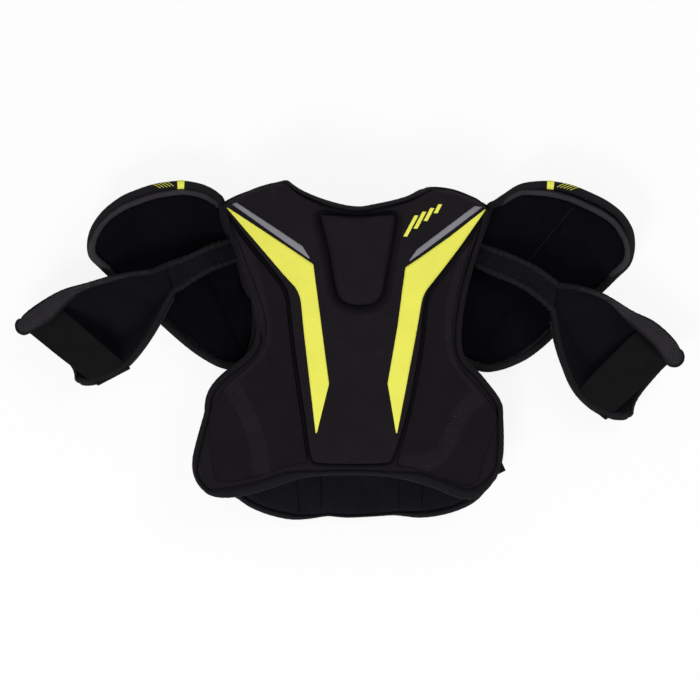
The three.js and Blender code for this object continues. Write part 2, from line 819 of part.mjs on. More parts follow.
// The surfaces of one arm guard
function guardOf(arm) {
  const linkEnd = { upper: arm.link.upper.at(-1), lower: arm.link.lower.at(-1) };
  const seam = flatPoint(linkEnd.lower).sub(flatPoint(linkEnd.upper));
  const outward = vector(seam.y, -seam.x, 0).normalize();
  if (outward.x * linkEnd.upper[0] < 0) outward.negate();
  const beyond = ([x, y]) => [x + LINK_SEAM_GAP * outward.x, y + LINK_SEAM_GAP * outward.y];
  const first = {
    upper: beyond(linkEnd.upper),
    lower: beyond(linkEnd.lower),
    rim: LINK_SEAM_Z + SEAM_TROUGH_DEPTH / 2,
    depth: SEAM_TROUGH_DEPTH,
  };
  const stations = [first, ...arm.trough];
  const row = (key) => stations.map((station) => station[key]);
  const edgeAt = (key, u) => {
    const points = row(key);
    const x = smoothAt(points.map((p) => p[0]), u);
    return vector(x, smoothAt(points.map((p) => p[1]), u), 0);
  };
  // The trough: v runs from the upper rim, under the arm, to the lower rim
  const trough = (u, v) => {
    const place = THREE.MathUtils.clamp(u, 0, 1);
    const upper = edgeAt("upper", place);
    const lower = edgeAt("lower", place);
    const half = upper.clone().sub(lower).multiplyScalar(0.5);
    const curl = TROUGH_CURL * place;
    const angle = v * (Math.PI + curl) - curl;
    const shrink = 1 - TROUGH_THICK / (2 * half.length());
    const middle = upper.add(lower).multiplyScalar(0.5);
    const p = middle.addScaledVector(half, shrink * Math.cos(angle));
    const depth = smoothAt(row("depth"), place);
    return p.setZ(smoothAt(row("rim"), place) - depth * Math.sin(angle));
  };
  // The link: u runs outwards from the shoulder, v from its upper to its lower edge
  const link = (u, v) => {
    const upper = flatPoint(alongChain(arm.link.upper, u));
    const lower = flatPoint(alongChain(arm.link.lower, u));
    const rise = THREE.MathUtils.clamp(u, 0, 1);
    const p = upper.lerp(lower, v);
    return p.setZ(THREE.MathUtils.lerp(LINK_ROOT_Z, LINK_SEAM_Z, rise));
  };
  return { trough, link, outward };
}

// Unit direction in which a surface leaves its edge
function leaving(surface, u, v, du, dv) {
  return surface(u, v).sub(surface(u - du, v - dv)).normalize();
}

// The strap lies over the outer end of the trough, sewn inside its upper rim. Shares of the
// trough's length and girth give its ends.
const STRAP_SEWN = { from: 0.6, to: 0.93, girth: 0.14 };
const STRAP_FREE = { from: 0.8, to: 0.94 };
function strapSurface(trough) {
  const wall = STRAP_SEWN.girth;
  const sewn = (u) => {
    const at = THREE.MathUtils.lerp(STRAP_SEWN.from, STRAP_SEWN.to, u);
    const p = trough(at, wall);
    const across = trough(at, 1).sub(p).setZ(0).normalize();
    return p.addScaledVector(across, TROUGH_THICK / 2 + STRAP_SEAT);
  };
  const free = (u) => {
    const at = THREE.MathUtils.lerp(STRAP_FREE.from, STRAP_FREE.to, u);
    const rim = trough(at, 1);
    const across = rim.clone().sub(trough(at, wall)).setZ(0).normalize();
    const clear = 2 * TROUGH_PIPING_RADIUS + 2 * PIPING_GAP + STRAP_THICK / 2;
    return rim.addScaledVector(across, STRAP_OVERHANG).add(vector(0, 0, clear));
  };
  return (u, v) => {
    const bow = STRAP_LIFT * Math.sin(Math.PI * THREE.MathUtils.clamp(v, 0, 1));
    return sewn(u).lerp(free(u), v).add(vector(0, 0, bow));
  };
}

// Stretch of the trough that the pad covers, and stretch that the loop patch covers
const PAD_SPAN = { u0: 0, u1: 0.96, v0: 0.03, v1: 0.97 };
const PATCH_SPAN = { u0: 0.74, u1: 0.93, v0: 0.72, v1: 0.86 };
const TROUGH_STEPS_ALONG = 8;
const TROUGH_STEPS_ROUND = 12;
const SMALL_SHARE = 0.01;

function addArm(side, arm) {
  const { trough, link, outward } = guardOf(arm);
  const half = TROUGH_THICK / 2;
  const linkHalf = LINK_THICK / 2;
  addPiece(side + "_arm_link", sheetBody(link, 6, 2, -linkHalf, linkHalf), "foam");
  const uSteps = TROUGH_STEPS_ALONG;
  const vSteps = TROUGH_STEPS_ROUND;
  const trunk = (inner, outer) =>
    sheetBody(trough, uSteps, vSteps, inner, outer, PAD_SPAN, outward);
  addPiece(side + "_arm_pad", trunk(-half, half), "foam");

  // The shell's side of the sheet is the one that faces down
  const shellIn = half + LAY_GAP;
  const shellOut = shellIn + TROUGH_SHELL_THICK;
  const outerSide = side === "left" ? -1 : 1;
  const shell = trunk(outerSide * shellIn, outerSide * shellOut);
  addPiece(side + "_arm_shell", shell, "mesh");

  const clear = TROUGH_PIPING_RADIUS + TROUGH_PIPING_GAP;
  const { u0, u1, v0, v1 } = PAD_SPAN;
  const uAt = (i) => THREE.MathUtils.lerp(u0, u1, i / uSteps);
  const vAt = (j) => THREE.MathUtils.lerp(v0, v1, j / vSteps);
  const offEdge = (u, v, du, dv) => {
    const p = trough(u, v);
    if (du !== 0) p.addScaledVector(leaving(trough, u, v, du, 0), clear);
    if (dv !== 0) p.addScaledVector(leaving(trough, u, v, 0, dv), clear);
    return p;
  };
  const small = SMALL_SHARE;
  const line = [];
  for (let i = 2; i < uSteps; i++) line.push(offEdge(uAt(i), v0, 0, -small));
  line.push(offEdge(u1, v0, small, -small));
  for (let j = 1; j < vSteps; j++) line.push(offEdge(u1, vAt(j), small, 0));
  line.push(offEdge(u1, v1, small, small));
  for (let i = uSteps - 1; i > 1; i--) line.push(offEdge(uAt(i), v1, 0, small));
  addPiece(side + "_arm_piping", pipingBody(line, TROUGH_PIPING_RADIUS, false), "piping");

  const strap = strapSurface(trough);
  const strapHalf = STRAP_THICK / 2;
  addPiece(side + "_arm_strap", sheetBody(strap, 3, 6, -strapHalf, strapHalf), "elastic");
  const patchIn = shellOut + LAY_GAP;
  const patchOut = patchIn + HOOK_THICK;
  const patch = sheetBody(trough, 2, 3, outerSide * patchIn, outerSide * patchOut, PATCH_SPAN);
  addPiece(side + "_loop_patch", patch, "hook");
}
addArm("left", LEFT_ARM);
addArm("right", RIGHT_ARM);

// Elastic side straps that hang from the lower sides of the chest, with a hook patch each
for (const [side, mirror] of [
  ["left", -1],
  ["right", 1],
]) {
  const top = chestFace(SIDE_STRAP_X) - CHEST_THICK - 2 * SEAM_GAP;
  const plane = (x, y0, y1, z0, z1) => (u, v) =>
    vector(mirror * x, THREE.MathUtils.lerp(y0, y1, u), THREE.MathUtils.lerp(z0, z1, v));
  const endY = SIDE_STRAP_TOP_Y - SIDE_STRAP_WIDTH;
  const strapHalf = SIDE_STRAP_THICK / 2;
  const strap = plane(SIDE_STRAP_X, SIDE_STRAP_TOP_Y, endY, top, SIDE_STRAP_FOOT_Z);
  addPiece(side + "_side_strap", sheetBody(strap, 1, 1, -strapHalf, strapHalf), "elastic");
  const hookX = SIDE_STRAP_X + strapHalf + SEAM_GAP + HOOK_THICK / 2;
  const hookTop = SIDE_STRAP_FOOT_Z + SIDE_HOOK_LENGTH;
  const hook = plane(hookX, SIDE_STRAP_TOP_Y - 2, endY + 2, hookTop, SIDE_STRAP_FOOT_Z + 1);
  addPiece(side + "_side_hook", sheetBody(hook, 1, 1, -HOOK_THICK / 2, HOOK_THICK / 2), "hook");
}

for (const [side, mirror, spread, tabX] of [
  ["left", -1, LEFT_CAP_SPREAD, LEFT_TAB_X],
  ["right", 1, RIGHT_CAP_SPREAD, RIGHT_TAB_X],
]) {
  const cap = capOf(mirror, spread);
  addPiece(side + "_cap_shell", cap.shell, "shell");
  addPiece(side + "_cap_liner", cap.liner, "liner");
  addPiece(side + "_cap_piping", cap.piping, "piping");
  addPiece(side + "_cap_tab", capTab(cap, tabX), "yellow");
}

export default part;
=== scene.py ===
"""Ice hockey shoulder pads laid on their back and seen from straight above.

Black knitted fabric over foam, with bound edges, printed yellow strips, two bowl shaped
shoulder caps and two arm guards with elastic straps. Shapes are worked out in millimetres
and put into the meshes in metres.
"""

import bpy
import numpy as np
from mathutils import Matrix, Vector


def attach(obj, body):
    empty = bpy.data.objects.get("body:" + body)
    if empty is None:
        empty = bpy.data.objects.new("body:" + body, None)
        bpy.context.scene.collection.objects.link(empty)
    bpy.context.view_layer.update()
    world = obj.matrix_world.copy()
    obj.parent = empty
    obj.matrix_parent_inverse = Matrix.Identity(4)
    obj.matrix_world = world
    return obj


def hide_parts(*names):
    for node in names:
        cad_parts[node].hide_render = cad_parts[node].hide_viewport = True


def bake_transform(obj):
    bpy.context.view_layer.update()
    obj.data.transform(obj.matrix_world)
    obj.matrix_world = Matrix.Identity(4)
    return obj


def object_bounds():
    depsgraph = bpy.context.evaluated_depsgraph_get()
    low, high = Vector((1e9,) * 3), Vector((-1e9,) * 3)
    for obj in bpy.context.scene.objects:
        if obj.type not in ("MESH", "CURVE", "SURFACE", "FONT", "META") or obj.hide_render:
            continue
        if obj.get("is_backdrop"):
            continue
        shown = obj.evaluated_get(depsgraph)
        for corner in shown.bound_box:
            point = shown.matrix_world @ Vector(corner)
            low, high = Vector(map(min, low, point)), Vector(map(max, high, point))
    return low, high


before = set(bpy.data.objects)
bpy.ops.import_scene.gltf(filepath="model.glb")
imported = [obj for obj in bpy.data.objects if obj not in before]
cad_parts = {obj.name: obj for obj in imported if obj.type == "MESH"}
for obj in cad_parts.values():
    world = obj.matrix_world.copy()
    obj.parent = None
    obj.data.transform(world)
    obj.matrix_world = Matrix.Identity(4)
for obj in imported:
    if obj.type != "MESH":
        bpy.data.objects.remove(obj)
cad_box = [list(corner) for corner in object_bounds()]

# The camera looks straight down from four metres, as the photograph of the flat lay does.
# The picture is 770 mm wide at the height of the shoulder seam.
SEAM_Z = 47.0
CAMERA_OVER = (-0.00275, -0.0011)
CAMERA_RISE = 4.0
PICTURE_WIDTH = 0.770


def put_object(name, data):
    """A new object in the scene."""
    made = bpy.data.objects.new(name, data)
    bpy.context.scene.collection.objects.link(made)
    return made


camera = put_object("camera", bpy.data.cameras.new("camera"))
camera.location = (*CAMERA_OVER, SEAM_Z / 1000 + CAMERA_RISE)
camera.data.lens = camera.data.sensor_width * CAMERA_RISE / PICTURE_WIDTH
camera.data.clip_end = 20
bpy.context.scene.camera = camera
bpy.context.scene.view_settings.view_transform = "Standard"

# A white sweep under soft daylight: a big lamp over the hem end, a fill from the neck end,
# and an even sky. Rays from the camera see the floor as white with a faint shadow.
WORLD_LEVEL = 0.4
LAMPS = (
    ("key", (-0.7, -1.4, 2.1), 0.9, 34),
    ("fill", (1.2, 0.8, 1.7), 1.0, 13),
)


def reckon(tree, operation, *values):
    """The result socket of a Math node that is fed with sockets and plain numbers."""
    node = tree.nodes.new("ShaderNodeMath")
    node.operation = operation
    for socket, value in zip(node.inputs, values):
        if isinstance(value, bpy.types.NodeSocket):
            tree.links.new(value, socket)
        else:
            socket.default_value = value
    return node.outputs[0]


def seen_ray(tree):
    """1 for rays of the camera, of gloss and of glass: the largest of Light Path's three."""
    path = tree.nodes.new("ShaderNodeLightPath")
    seen = path.outputs["Is Camera Ray"]
    for name in ("Is Glossy Ray", "Is Transmission Ray"):
        seen = reckon(tree, "MAXIMUM", seen, path.outputs[name])
    return seen


world = bpy.data.worlds.new("studio")
bpy.context.scene.world = world
world.use_nodes = True
sky = world.node_tree
level = reckon(sky, "MULTIPLY_ADD", seen_ray(sky), 1 - WORLD_LEVEL, WORLD_LEVEL)
sky.nodes["Background"].inputs["Color"].default_value = (1, 1, 1, 1)
sky.links.new(level, sky.nodes["Background"].inputs["Strength"])

for name, place, size, power in LAMPS:
    lamp = bpy.data.lights.new(name, "AREA")
    lamp.size = size
    lamp.energy = power
    holder = put_object(name, lamp)
    holder.location = place
    holder.rotation_euler = (-Vector(place)).to_track_quat("-Z", "Y").to_euler()

FLOOR_HALF = 12.0
FLOOR_SHADOW = 0.12
floor_mesh = bpy.data.meshes.new("floor")
floor_mesh.from_pydata(
    [(FLOOR_HALF * x, FLOOR_HALF * y, 0) for x, y in ((-1, -1), (1, -1), (1, 1), (-1, 1))],
    [],
    [(0, 1, 2, 3)],
)
floor = put_object("floor", floor_mesh)
paper = bpy.data.materials.new("white_paper")
paper.use_nodes = True
tree = paper.node_tree
tree.nodes.remove(tree.nodes["Principled BSDF"])
matte = tree.nodes.new("ShaderNodeBsdfDiffuse")
matte.inputs["Color"].default_value = (0.95, 0.95, 0.95, 1)
white = tree.nodes.new("ShaderNodeEmission")
both = tree.nodes.new("ShaderNodeMixShader")
tree.links.new(reckon(tree, "MULTIPLY", seen_ray(tree), 1 - FLOOR_SHADOW), both.inputs[0])
tree.links.new(matte.outputs[0], both.inputs[1])
tree.links.new(white.outputs[0], both.inputs[2])
tree.links.new(both.outputs[0], tree.nodes["Material Output"].inputs["Surface"])
floor_mesh.materials.append(paper)
floor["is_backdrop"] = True

# Back panel: knitted lining over 14 mm foam, dished up at its sides. Its two lobes show
# below the front hem, and its shoulders rise to the shoulder seam.
BACK_EDGE = [
    (0, 150.9), (30.2, 156), (52.6, 165.9), (66.4, 172.5), (78, 177.4), (92.4, 178.5),
    (110.6, 175.9), (128.9, 169.2), (141, 162.6), (145.5, 152.6), (134.7, 132.7),
    (124.4, 112.8), (110.6, 70.8), (102.5, 31.2), (101.6, 6.1), (108.6, -19.9),
    (122.7, -38.2), (138.8, -56.4), (152.1, -79.6), (159.8, -107.3), (162.1, -125),
    (159.3, -141.6), (152.1, -150.4), (136.6, -168.1), (117.8, -178.4), (96.8, -184.5),
    (74.7, -187.1), (59.2, -185.8), (44.8, -184.5), (21.6, -186), (-2.8, -187.1),
    (-16, -186.5), (-28.2, -185.6), (-49.2, -188.5), (-69.1, -189.1), (-91.2, -184.3),
    (-113.4, -175.3), (-128.8, -164.8), (-144.3, -155.9), (-154.3, -142.7), (-157.6, -125),
    (-154.8, -108.4), (-149.9, -80.4), (-138.8, -56.4), (-122.6, -38.2), (-108.6, -19.9),
    (-101.5, 6.1), (-102.5, 31.2), (-110.6, 70.8), (-124, 112.8), (-133.3, 132.7),
    (-142.1, 152.6), (-144.3, 159.3), (-129.9, 168.1), (-111.1, 175.3), (-93.4, 181.4),
    (-83.5, 182.5), (-66.3, 175.9), (-52.5, 165.9), (-30.4, 156),
]
SHOULDER_LEFT = [
    (-143, 157.9), (-129.2, 166.7), (-113.9, 173.5), (-98.5, 179), (-82, 182.8),
    (-73.7, 184.8),
]
SHOULDER_RIGHT = [
    (84.7, 176.8), (94.1, 175.7), (109.5, 173.8), (126, 168.3), (142.5, 160.8),
    (148.5, 156.8),
]
VEST_CENTRE = (0.0, 20.0)
BACK_FLOOR = 8.6
BACK_FLAT_HALF = 42.0
BACK_DISH = 840.0
FOAM = 14.0
OUTER_BEND = 17.0
INNER_BEND = 4.0
SEAM_GAP = 0.4


def catmull(points, places):
    """Catmull-Rom curve through the points: the cubic whose slope at each point is half the
    step between its neighbours. Places are counted in points."""
    p = np.asarray(points, float)
    p = np.concatenate([2 * p[:1] - p[1:2], p, 2 * p[-1:] - p[-2:-1]])
    i = np.clip(np.floor(places).astype(int), 0, len(p) - 4)
    t = (places - i).reshape(-1, *[1] * (p.ndim - 1))
    a, b, c, d = p[i], p[i + 1], p[i + 2], p[i + 3]
    bend = 2 * a - 5 * b + 4 * c - d
    return 0.5 * (2 * b + (c - a) * t + bend * t**2 + (3 * b - a - 3 * c + d) * t**3)


def lengths_along(line):
    """Length gone at each point of a line."""
    return np.r_[0, np.cumsum(np.linalg.norm(np.diff(line, axis=0), axis=1))]


def points_at(places, marks, line):
    """Points on a line: each of its own points has a mark, and places lie between marks."""
    return np.stack([np.interp(places, marks, column) for column in line.T], axis=1)


def smooth_line(points, count, closed=False):
    """Places at equal steps of length along the Catmull-Rom curve through the points."""
    p = np.asarray(points, float)
    ends = 2 if closed else 0
    if closed:
        p = np.concatenate([p[-ends:], p, p[: ends + 1]])
    fine = catmull(p, np.linspace(ends, len(p) - 1 - ends, 24 * len(p)))
    gone = lengths_along(fine)
    return points_at(np.linspace(0, gone[-1], count, endpoint=not closed), gone, fine)


GAP_BLOCK = 4000


def gap_to(points, line, closed=False):
    """Shortest distance from each point to a line of straight pieces, in plan: the distance
    to the nearest foot, where a foot is the point's projection, held within its piece."""
    start = np.asarray(line, float)[:, :2]
    end = np.roll(start, -1, axis=0)
    if not closed:
        start, end = start[:-1], end[:-1]
    piece = end - start
    square = np.maximum((piece**2).sum(1), 1e-9)
    flat = np.asarray(points, float)[..., :2]
    near = np.empty(flat.reshape(-1, 2).shape[0])
    for block in range(0, len(near), GAP_BLOCK):
        p = flat.reshape(-1, 2)[block : block + GAP_BLOCK, None]
        share = np.clip(((p - start) * piece).sum(2) / square, 0, 1)
        foot = start + share[..., None] * piece
        near[block : block + GAP_BLOCK] = np.sqrt(((p - foot) ** 2).sum(2)).min(1)
    return near.reshape(flat.shape[:-1])


def moved_in(outline, amount):
    """A closed outline moved in by an amount per point, along its normal in plan. Outlines
    run either way round: the sign of the area tells which side is in."""
    step = np.roll(outline, -1, axis=0) - np.roll(outline, 1, axis=0)
    normal = np.stack([step[:, 1], -step[:, 0]], axis=1)
    normal /= np.linalg.norm(normal, axis=1)[:, None]
    following = np.roll(outline, -1, axis=0)
    area = (outline[:, 0] * following[:, 1] - outline[:, 1] * following[:, 0]).sum()
    moved = np.array(outline, float)
    moved[:, :2] -= np.sign(area) * normal * np.broadcast_to(amount, len(outline))[:, None]
    return moved


def grid_faces(rows, columns, wrap=False):
    """Quads between the neighbours of a grid. Wrap joins the last column to the first."""
    r = np.arange(rows - 1)[:, None] * columns
    c = np.arange(columns if wrap else columns - 1)[None]
    n = (c + 1) % columns
    quads = np.broadcast_arrays(r + c, r + n, r + columns + n, r + columns + c)
    return np.stack(quads, axis=-1).reshape(-1, 4)


def lay_cloth(mesh, cloth):
    """UV map in tenths of a metre, from each point's place on the cloth in millimetres."""
    corner = np.empty(len(mesh.loops), np.int32)
    mesh.loops.foreach_get("vertex_index", corner)
    layer = mesh.uv_layers.new(name="cloth")
    layer.data.foreach_set("uv", (cloth[corner] / 100).astype(np.float32).ravel())


def put_mesh(name, points, faces, cloth):
    """A smooth mesh object from points in millimetres. The faces are turned round if the
    volume that they enclose is negative."""
    points = np.asarray(points, float)
    volume = 0.0
    for face in faces:
        for k in range(1, face.shape[1] - 1):
            side = np.cross(points[face[:, k]], points[face[:, k + 1]])
            volume += (points[face[:, 0]] * side).sum()
    if volume < 0:
        faces = [face[:, ::-1] for face in faces]
    polygons = [corners for face in faces for corners in face.tolist()]
    mesh = bpy.data.meshes.new(name)
    mesh.from_pydata((points / 1000).tolist(), [], polygons)
    mesh.shade_smooth()
    lay_cloth(mesh, cloth)
    return put_object(name, mesh)


def ring_body(name, rings, first, last, cloth=None):
    """A closed skin over rings of equal count, with a pole at each end. Without another
    cloth, the skin is laid flat in plan."""
    rows, count = rings.shape[:2]
    i = np.arange(count)
    n = (i + 1) % count
    pole = np.full(count, rows * count)
    end = (rows - 1) * count
    faces = [
        grid_faces(rows, count, wrap=True),
        np.stack([pole, n, i], axis=1),
        np.stack([pole + 1, end + i, end + n], axis=1),
    ]
    points = np.concatenate([rings.reshape(-1, 3), [first, last]])
    if cloth is None:
        cloth = points[:, :2]
    return put_mesh(name, points, faces, cloth)


def quarter(gap, radius):
    """Depth of a quarter circle below its top, at a distance inside its edge."""
    return radius - np.sqrt(np.maximum(radius**2 - np.maximum(radius - gap, 0) ** 2, 0))


EDGE_INSETS = np.array([0, 0.4, 1.0, 1.8, 2.8, 4.0, 5.5, 7.5, 10.0])


def cushion(name, outline, centre, top, under, edge, rings=34, soft=1.0, walls=3):
    """A padded panel. Its rings run in from the outline along rays to the centre, close
    together at the edge. The height is that of the upper or under face less a quarter
    circle of radius `edge`, by the share `soft` of it."""
    outline = outline[:, :2]
    soft = np.broadcast_to(soft, len(outline))
    ray = np.array(centre) - outline
    close = EDGE_INSETS[:, None] / np.linalg.norm(ray, axis=1)
    rest = np.arange(1, rings + 1)[:, None] / (rings + 1)
    share = np.concatenate([close, close[-1] + (1 - close[-1]) * rest])
    flat = outline + ray * share[..., None]
    drop = soft * quarter(gap_to(flat, outline, closed=True), edge)
    upper = np.dstack([flat, top(flat) - drop])
    lower = np.dstack([flat, under(flat) + drop])
    down = np.arange(1, walls + 1)[:, None, None] / (walls + 1)
    wall = upper[:1] + (lower[:1] - upper[:1]) * down
    middle = np.array([[centre]], float)
    poles = [np.r_[centre, face(middle)[0, 0]] for face in (top, under)]
    return ring_body(name, np.concatenate([upper[::-1], wall, lower]), *poles)


def shoulder_gap(points):
    """Distance in plan to the nearer of the two shoulder lines."""
    left = gap_to(points, SHOULDER_LEFT)
    return np.minimum(left, gap_to(points, SHOULDER_RIGHT))


def back_outer(points):
    """The back's outer face: flat along the spine, then a parabola up to the sides, and a
    quarter circle up at the shoulders."""
    side = np.maximum(np.abs(points[..., 0]) - BACK_FLAT_HALF, 0)
    return BACK_FLOOR + side**2 / BACK_DISH + quarter(shoulder_gap(points), OUTER_BEND)


def back_inner(points):
    """The back's lining, a foam's thickness above the outer face. Near the shoulder line it
    is the cut end of the panel at the shoulder seam."""
    side = np.maximum(np.abs(points[..., 0]) - BACK_FLAT_HALF, 0)
    gap = shoulder_gap(points)
    inner = BACK_FLOOR + FOAM + side**2 / BACK_DISH + quarter(gap - FOAM, INNER_BEND)
    return np.where(gap < FOAM, SEAM_Z - SEAM_GAP / 2, inner)


BINDING_SIDE = 4.5
NECK_SIDE = 3.6
HEM_SIDES = (3.2, 6.6)
BINDING_UP = 7.0
BINDING_LAP = 1.6
BINDING_STEP = 1.6
NECK_HALF = 92.0


def ramp(value, start, end):
    """A straight rise from 0 at the start to 1 at the end, held at both beyond them."""
    return np.clip((value - start) / (end - start), 0, 1)


def eased(value, start, end):
    """The same rise with level ends: 3t² less 2t³ of its share t."""
    t = ramp(value, start, end)
    return t * t * (3 - 2 * t)


def binding_side(points):
    """Half the binding's width: slim round the neck and at the middle of the hem, wide under
    the two lobes, and between the two along the armholes."""
    x, y = np.abs(points[..., 0]), points[..., 1]
    lobe = ramp(x, 38, 72) * ramp(x, 160, 138)
    hem = HEM_SIDES[0] + (HEM_SIDES[1] - HEM_SIDES[0]) * lobe
    low = ramp(y, -120, -138)
    high = ramp(y, 140, 148) * ramp(x, NECK_HALF, NECK_HALF - 8)
    side = BINDING_SIDE + (hem - BINDING_SIDE) * low
    return side + (NECK_SIDE - side) * high


def edged(outline_points, count, slim=1.0):
    """Outer outline, the panel's own outline inside its binding, and how soft the panel's
    edge is: 1 where it is bound, and 0 along the shoulder lines, where it is not inset."""
    outer = smooth_line(outline_points, count, closed=True)
    soft = eased(shoulder_gap(outer), 2, 16)
    return outer, moved_in(outer, (2 * slim * binding_side(outer) - BINDING_LAP) * soft), soft


BACK_SLIM = 0.66
PANEL_ROUND = 5.0
back_edge, back_wall, back_soft = edged(BACK_EDGE, 420, BACK_SLIM)
back_cover = cushion(
    "back_cover", back_wall, VEST_CENTRE, back_inner, back_outer, PANEL_ROUND, soft=back_soft
)


def effect(name, inputs, outputs):
    """An empty shader node group: its tree, and its sockets by name from the inside."""
    group = bpy.data.node_groups.new(name, "ShaderNodeTree")
    for socket, kind in inputs:
        group.interface.new_socket(socket, in_out="INPUT", socket_type="NodeSocket" + kind)
    for socket in outputs:
        group.interface.new_socket(socket, in_out="OUTPUT", socket_type="NodeSocketFloat")
    given = group.nodes.new("NodeGroupInput").outputs
    return group, given, group.nodes.new("NodeGroupOutput").inputs


def ranged(tree, value, low, high, to_low=0.0, to_high=1.0):
    """A smooth step of a value from one range to another."""
    node = tree.nodes.new("ShaderNodeMapRange")
    node.interpolation_type = "SMOOTHSTEP"
    limits = (low, high, to_low, to_high)
    for name, limit in zip(("From Min", "From Max", "To Min", "To Max"), limits):
        node.inputs[name].default_value = limit
    tree.links.new(value, node.inputs["Value"])
    return node.outputs[0]


def noise_of(tree, place, scale, detail):
    """A noise texture's value at a place in millimetres."""
    node = tree.nodes.new("ShaderNodeTexNoise")
    node.inputs["Scale"].default_value = scale
    node.inputs["Detail"].default_value = detail
    tree.links.new(place, node.inputs["Vector"])
    return node.outputs["Fac"]


TURN = 2 * np.pi


def in_pitches(tree, given):
    """X and Y of a group's place, counted in pitches."""
    split = tree.nodes.new("ShaderNodeSeparateXYZ")
    tree.links.new(given["Place"], split.inputs[0])
    return [reckon(tree, "DIVIDE", split.outputs[axis], given["Pitch"]) for axis in "XY"]


# Knit: rows of loops. Height is a wave across the wales, bent to and fro by the courses.
knit, given, result = effect("knit", [("Place", "Vector"), ("Pitch", "Float")], ["Height"])
wale, course = in_pitches(knit, given)
swing = reckon(knit, "SINE", reckon(knit, "MULTIPLY", course, TURN))
wave = reckon(knit, "MULTIPLY_ADD", wale, TURN, reckon(knit, "MULTIPLY", swing, 1.1))
loops = reckon(knit, "MULTIPLY_ADD", reckon(knit, "SINE", wave), 0.25, 0.5)
courses = reckon(knit, "MULTIPLY", reckon(knit, "ABSOLUTE", swing), 0.25)
knit.links.new(reckon(knit, "ADD", loops, courses), result["Height"])

# Air holes of a spacer mesh, staggered: the product of two cosines peaks at each hole.
holes, given, result = effect("air_holes", [("Place", "Vector"), ("Pitch", "Float")], ["Hole"])
peaks = [
    reckon(holes, "COSINE", reckon(holes, "MULTIPLY", place, TURN))
    for place in in_pitches(holes, given)
]
holes.links.new(ranged(holes, reckon(holes, "MULTIPLY", *peaks), 0.1, 0.7), result["Hole"])

# Wear: cloudy fading, and lint that clings to the cloth as pale specks and short fibres
wear, given, result = effect("wear", [("Place", "Vector")], ["Fade", "Lint"])
cloud = noise_of(wear, given["Place"], 0.03, 4)
wear.links.new(ranged(wear, cloud, 0.3, 0.7, 0.82, 1.2), result["Fade"])
fibre = noise_of(wear, given["Place"], 0.62, 2)
patchy = noise_of(wear, given["Place"], 0.05, 2)
speck = ranged(wear, reckon(wear, "MULTIPLY", fibre, patchy), 0.425, 0.47)
wear.links.new(speck, result["Lint"])

MILLIMETRES = 100.0
LINT_TONE = (0.075, 0.072, 0.08, 1)
HOLE_DEPTH = 1.6
FOLD_DEPTH = 8.0


def cloth_of(
    name,
    colour,
    roughness=0.9,
    shine=0.14,
    pitch=1.5,
    depth=0.25,
    hole_pitch=None,
    hole_tone=2.0,
    lint=0.3,
    band=False,
    fold=0.6,
    worn=0.15,
):
    """A fabric: its colour faded by wear and flecked with lint, and a bump of the knit, of
    its air holes and of soft folds. Band keeps the holes to where that attribute is 1."""
    made = bpy.data.materials.new(name)
    made.use_nodes = True
    tree = made.node_tree
    body = tree.nodes["Principled BSDF"]
    body.inputs["Roughness"].default_value = roughness
    body.inputs["Specular IOR Level"].default_value = shine
    source = tree.nodes.new("ShaderNodeTexCoord")
    place = tree.nodes.new("ShaderNodeVectorMath")
    place.operation = "SCALE"
    place.inputs["Scale"].default_value = MILLIMETRES
    tree.links.new(source.outputs["UV"], place.inputs[0])

    def placed(group, **values):
        node = tree.nodes.new("ShaderNodeGroup")
        node.node_tree = group
        tree.links.new(place.outputs[0], node.inputs["Place"])
        for key, value in values.items():
            node.inputs[key].default_value = value
        return node.outputs

    height = placed(knit, Pitch=pitch)["Height"]
    aged = placed(wear)
    tint = tree.nodes.new("ShaderNodeMix")
    tint.data_type = "RGBA"
    tint.inputs["A"].default_value = (*colour, 1)
    tint.inputs["B"].default_value = LINT_TONE
    tree.links.new(reckon(tree, "MULTIPLY", aged["Lint"], lint), tint.inputs["Factor"])
    faded = tree.nodes.new("ShaderNodeVectorMath")
    faded.operation = "SCALE"
    tree.links.new(tint.outputs["Result"], faded.inputs[0])
    shade = ranged(tree, aged["Fade"], 0.8, 1.2, 1 - worn, 1 + worn)
    if hole_pitch:
        hole = placed(holes, Pitch=hole_pitch)["Hole"]
        if band:
            where = tree.nodes.new("ShaderNodeAttribute")
            where.attribute_name = "band"
            hole = reckon(tree, "MULTIPLY", hole, where.outputs["Fac"])
        shade = reckon(tree, "MULTIPLY", shade, ranged(tree, hole, 0, 1, 1, hole_tone))
        height = reckon(tree, "MULTIPLY_ADD", hole, HOLE_DEPTH, height)
    tree.links.new(shade, faded.inputs["Scale"])
    tree.links.new(faded.outputs[0], body.inputs["Base Color"])
    soft = noise_of(tree, place.outputs[0], 0.045, 2)
    height = reckon(tree, "MULTIPLY_ADD", soft, fold * FOLD_DEPTH, height)
    bump = tree.nodes.new("ShaderNodeBump")
    bump.inputs["Strength"].default_value = 1.0
    bump.inputs["Distance"].default_value = depth / 1000
    tree.links.new(height, bump.inputs["Height"])
    tree.links.new(bump.outputs[0], body.inputs["Normal"])
    return made


def dress(piece, material, body, slot, *nodes, fill=None):
    """Finish of a new piece: its material, the body that it rides on, the CAD nodes that it
    stands for, and how full it is if it is padded, which is not used."""
    piece.data.materials.clear()
    piece.data.materials.append(material)
    if isinstance(body, str):
        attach(piece, body)
    else:
        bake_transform(piece)
    if nodes:
        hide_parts(*nodes)


def tape_of(name, colour, roughness=0.8, shine=0.14, lint=0.08):
    """Binding tape: a fine, even knit."""
    return cloth_of(name, colour, roughness, shine, pitch=1.0, lint=lint)


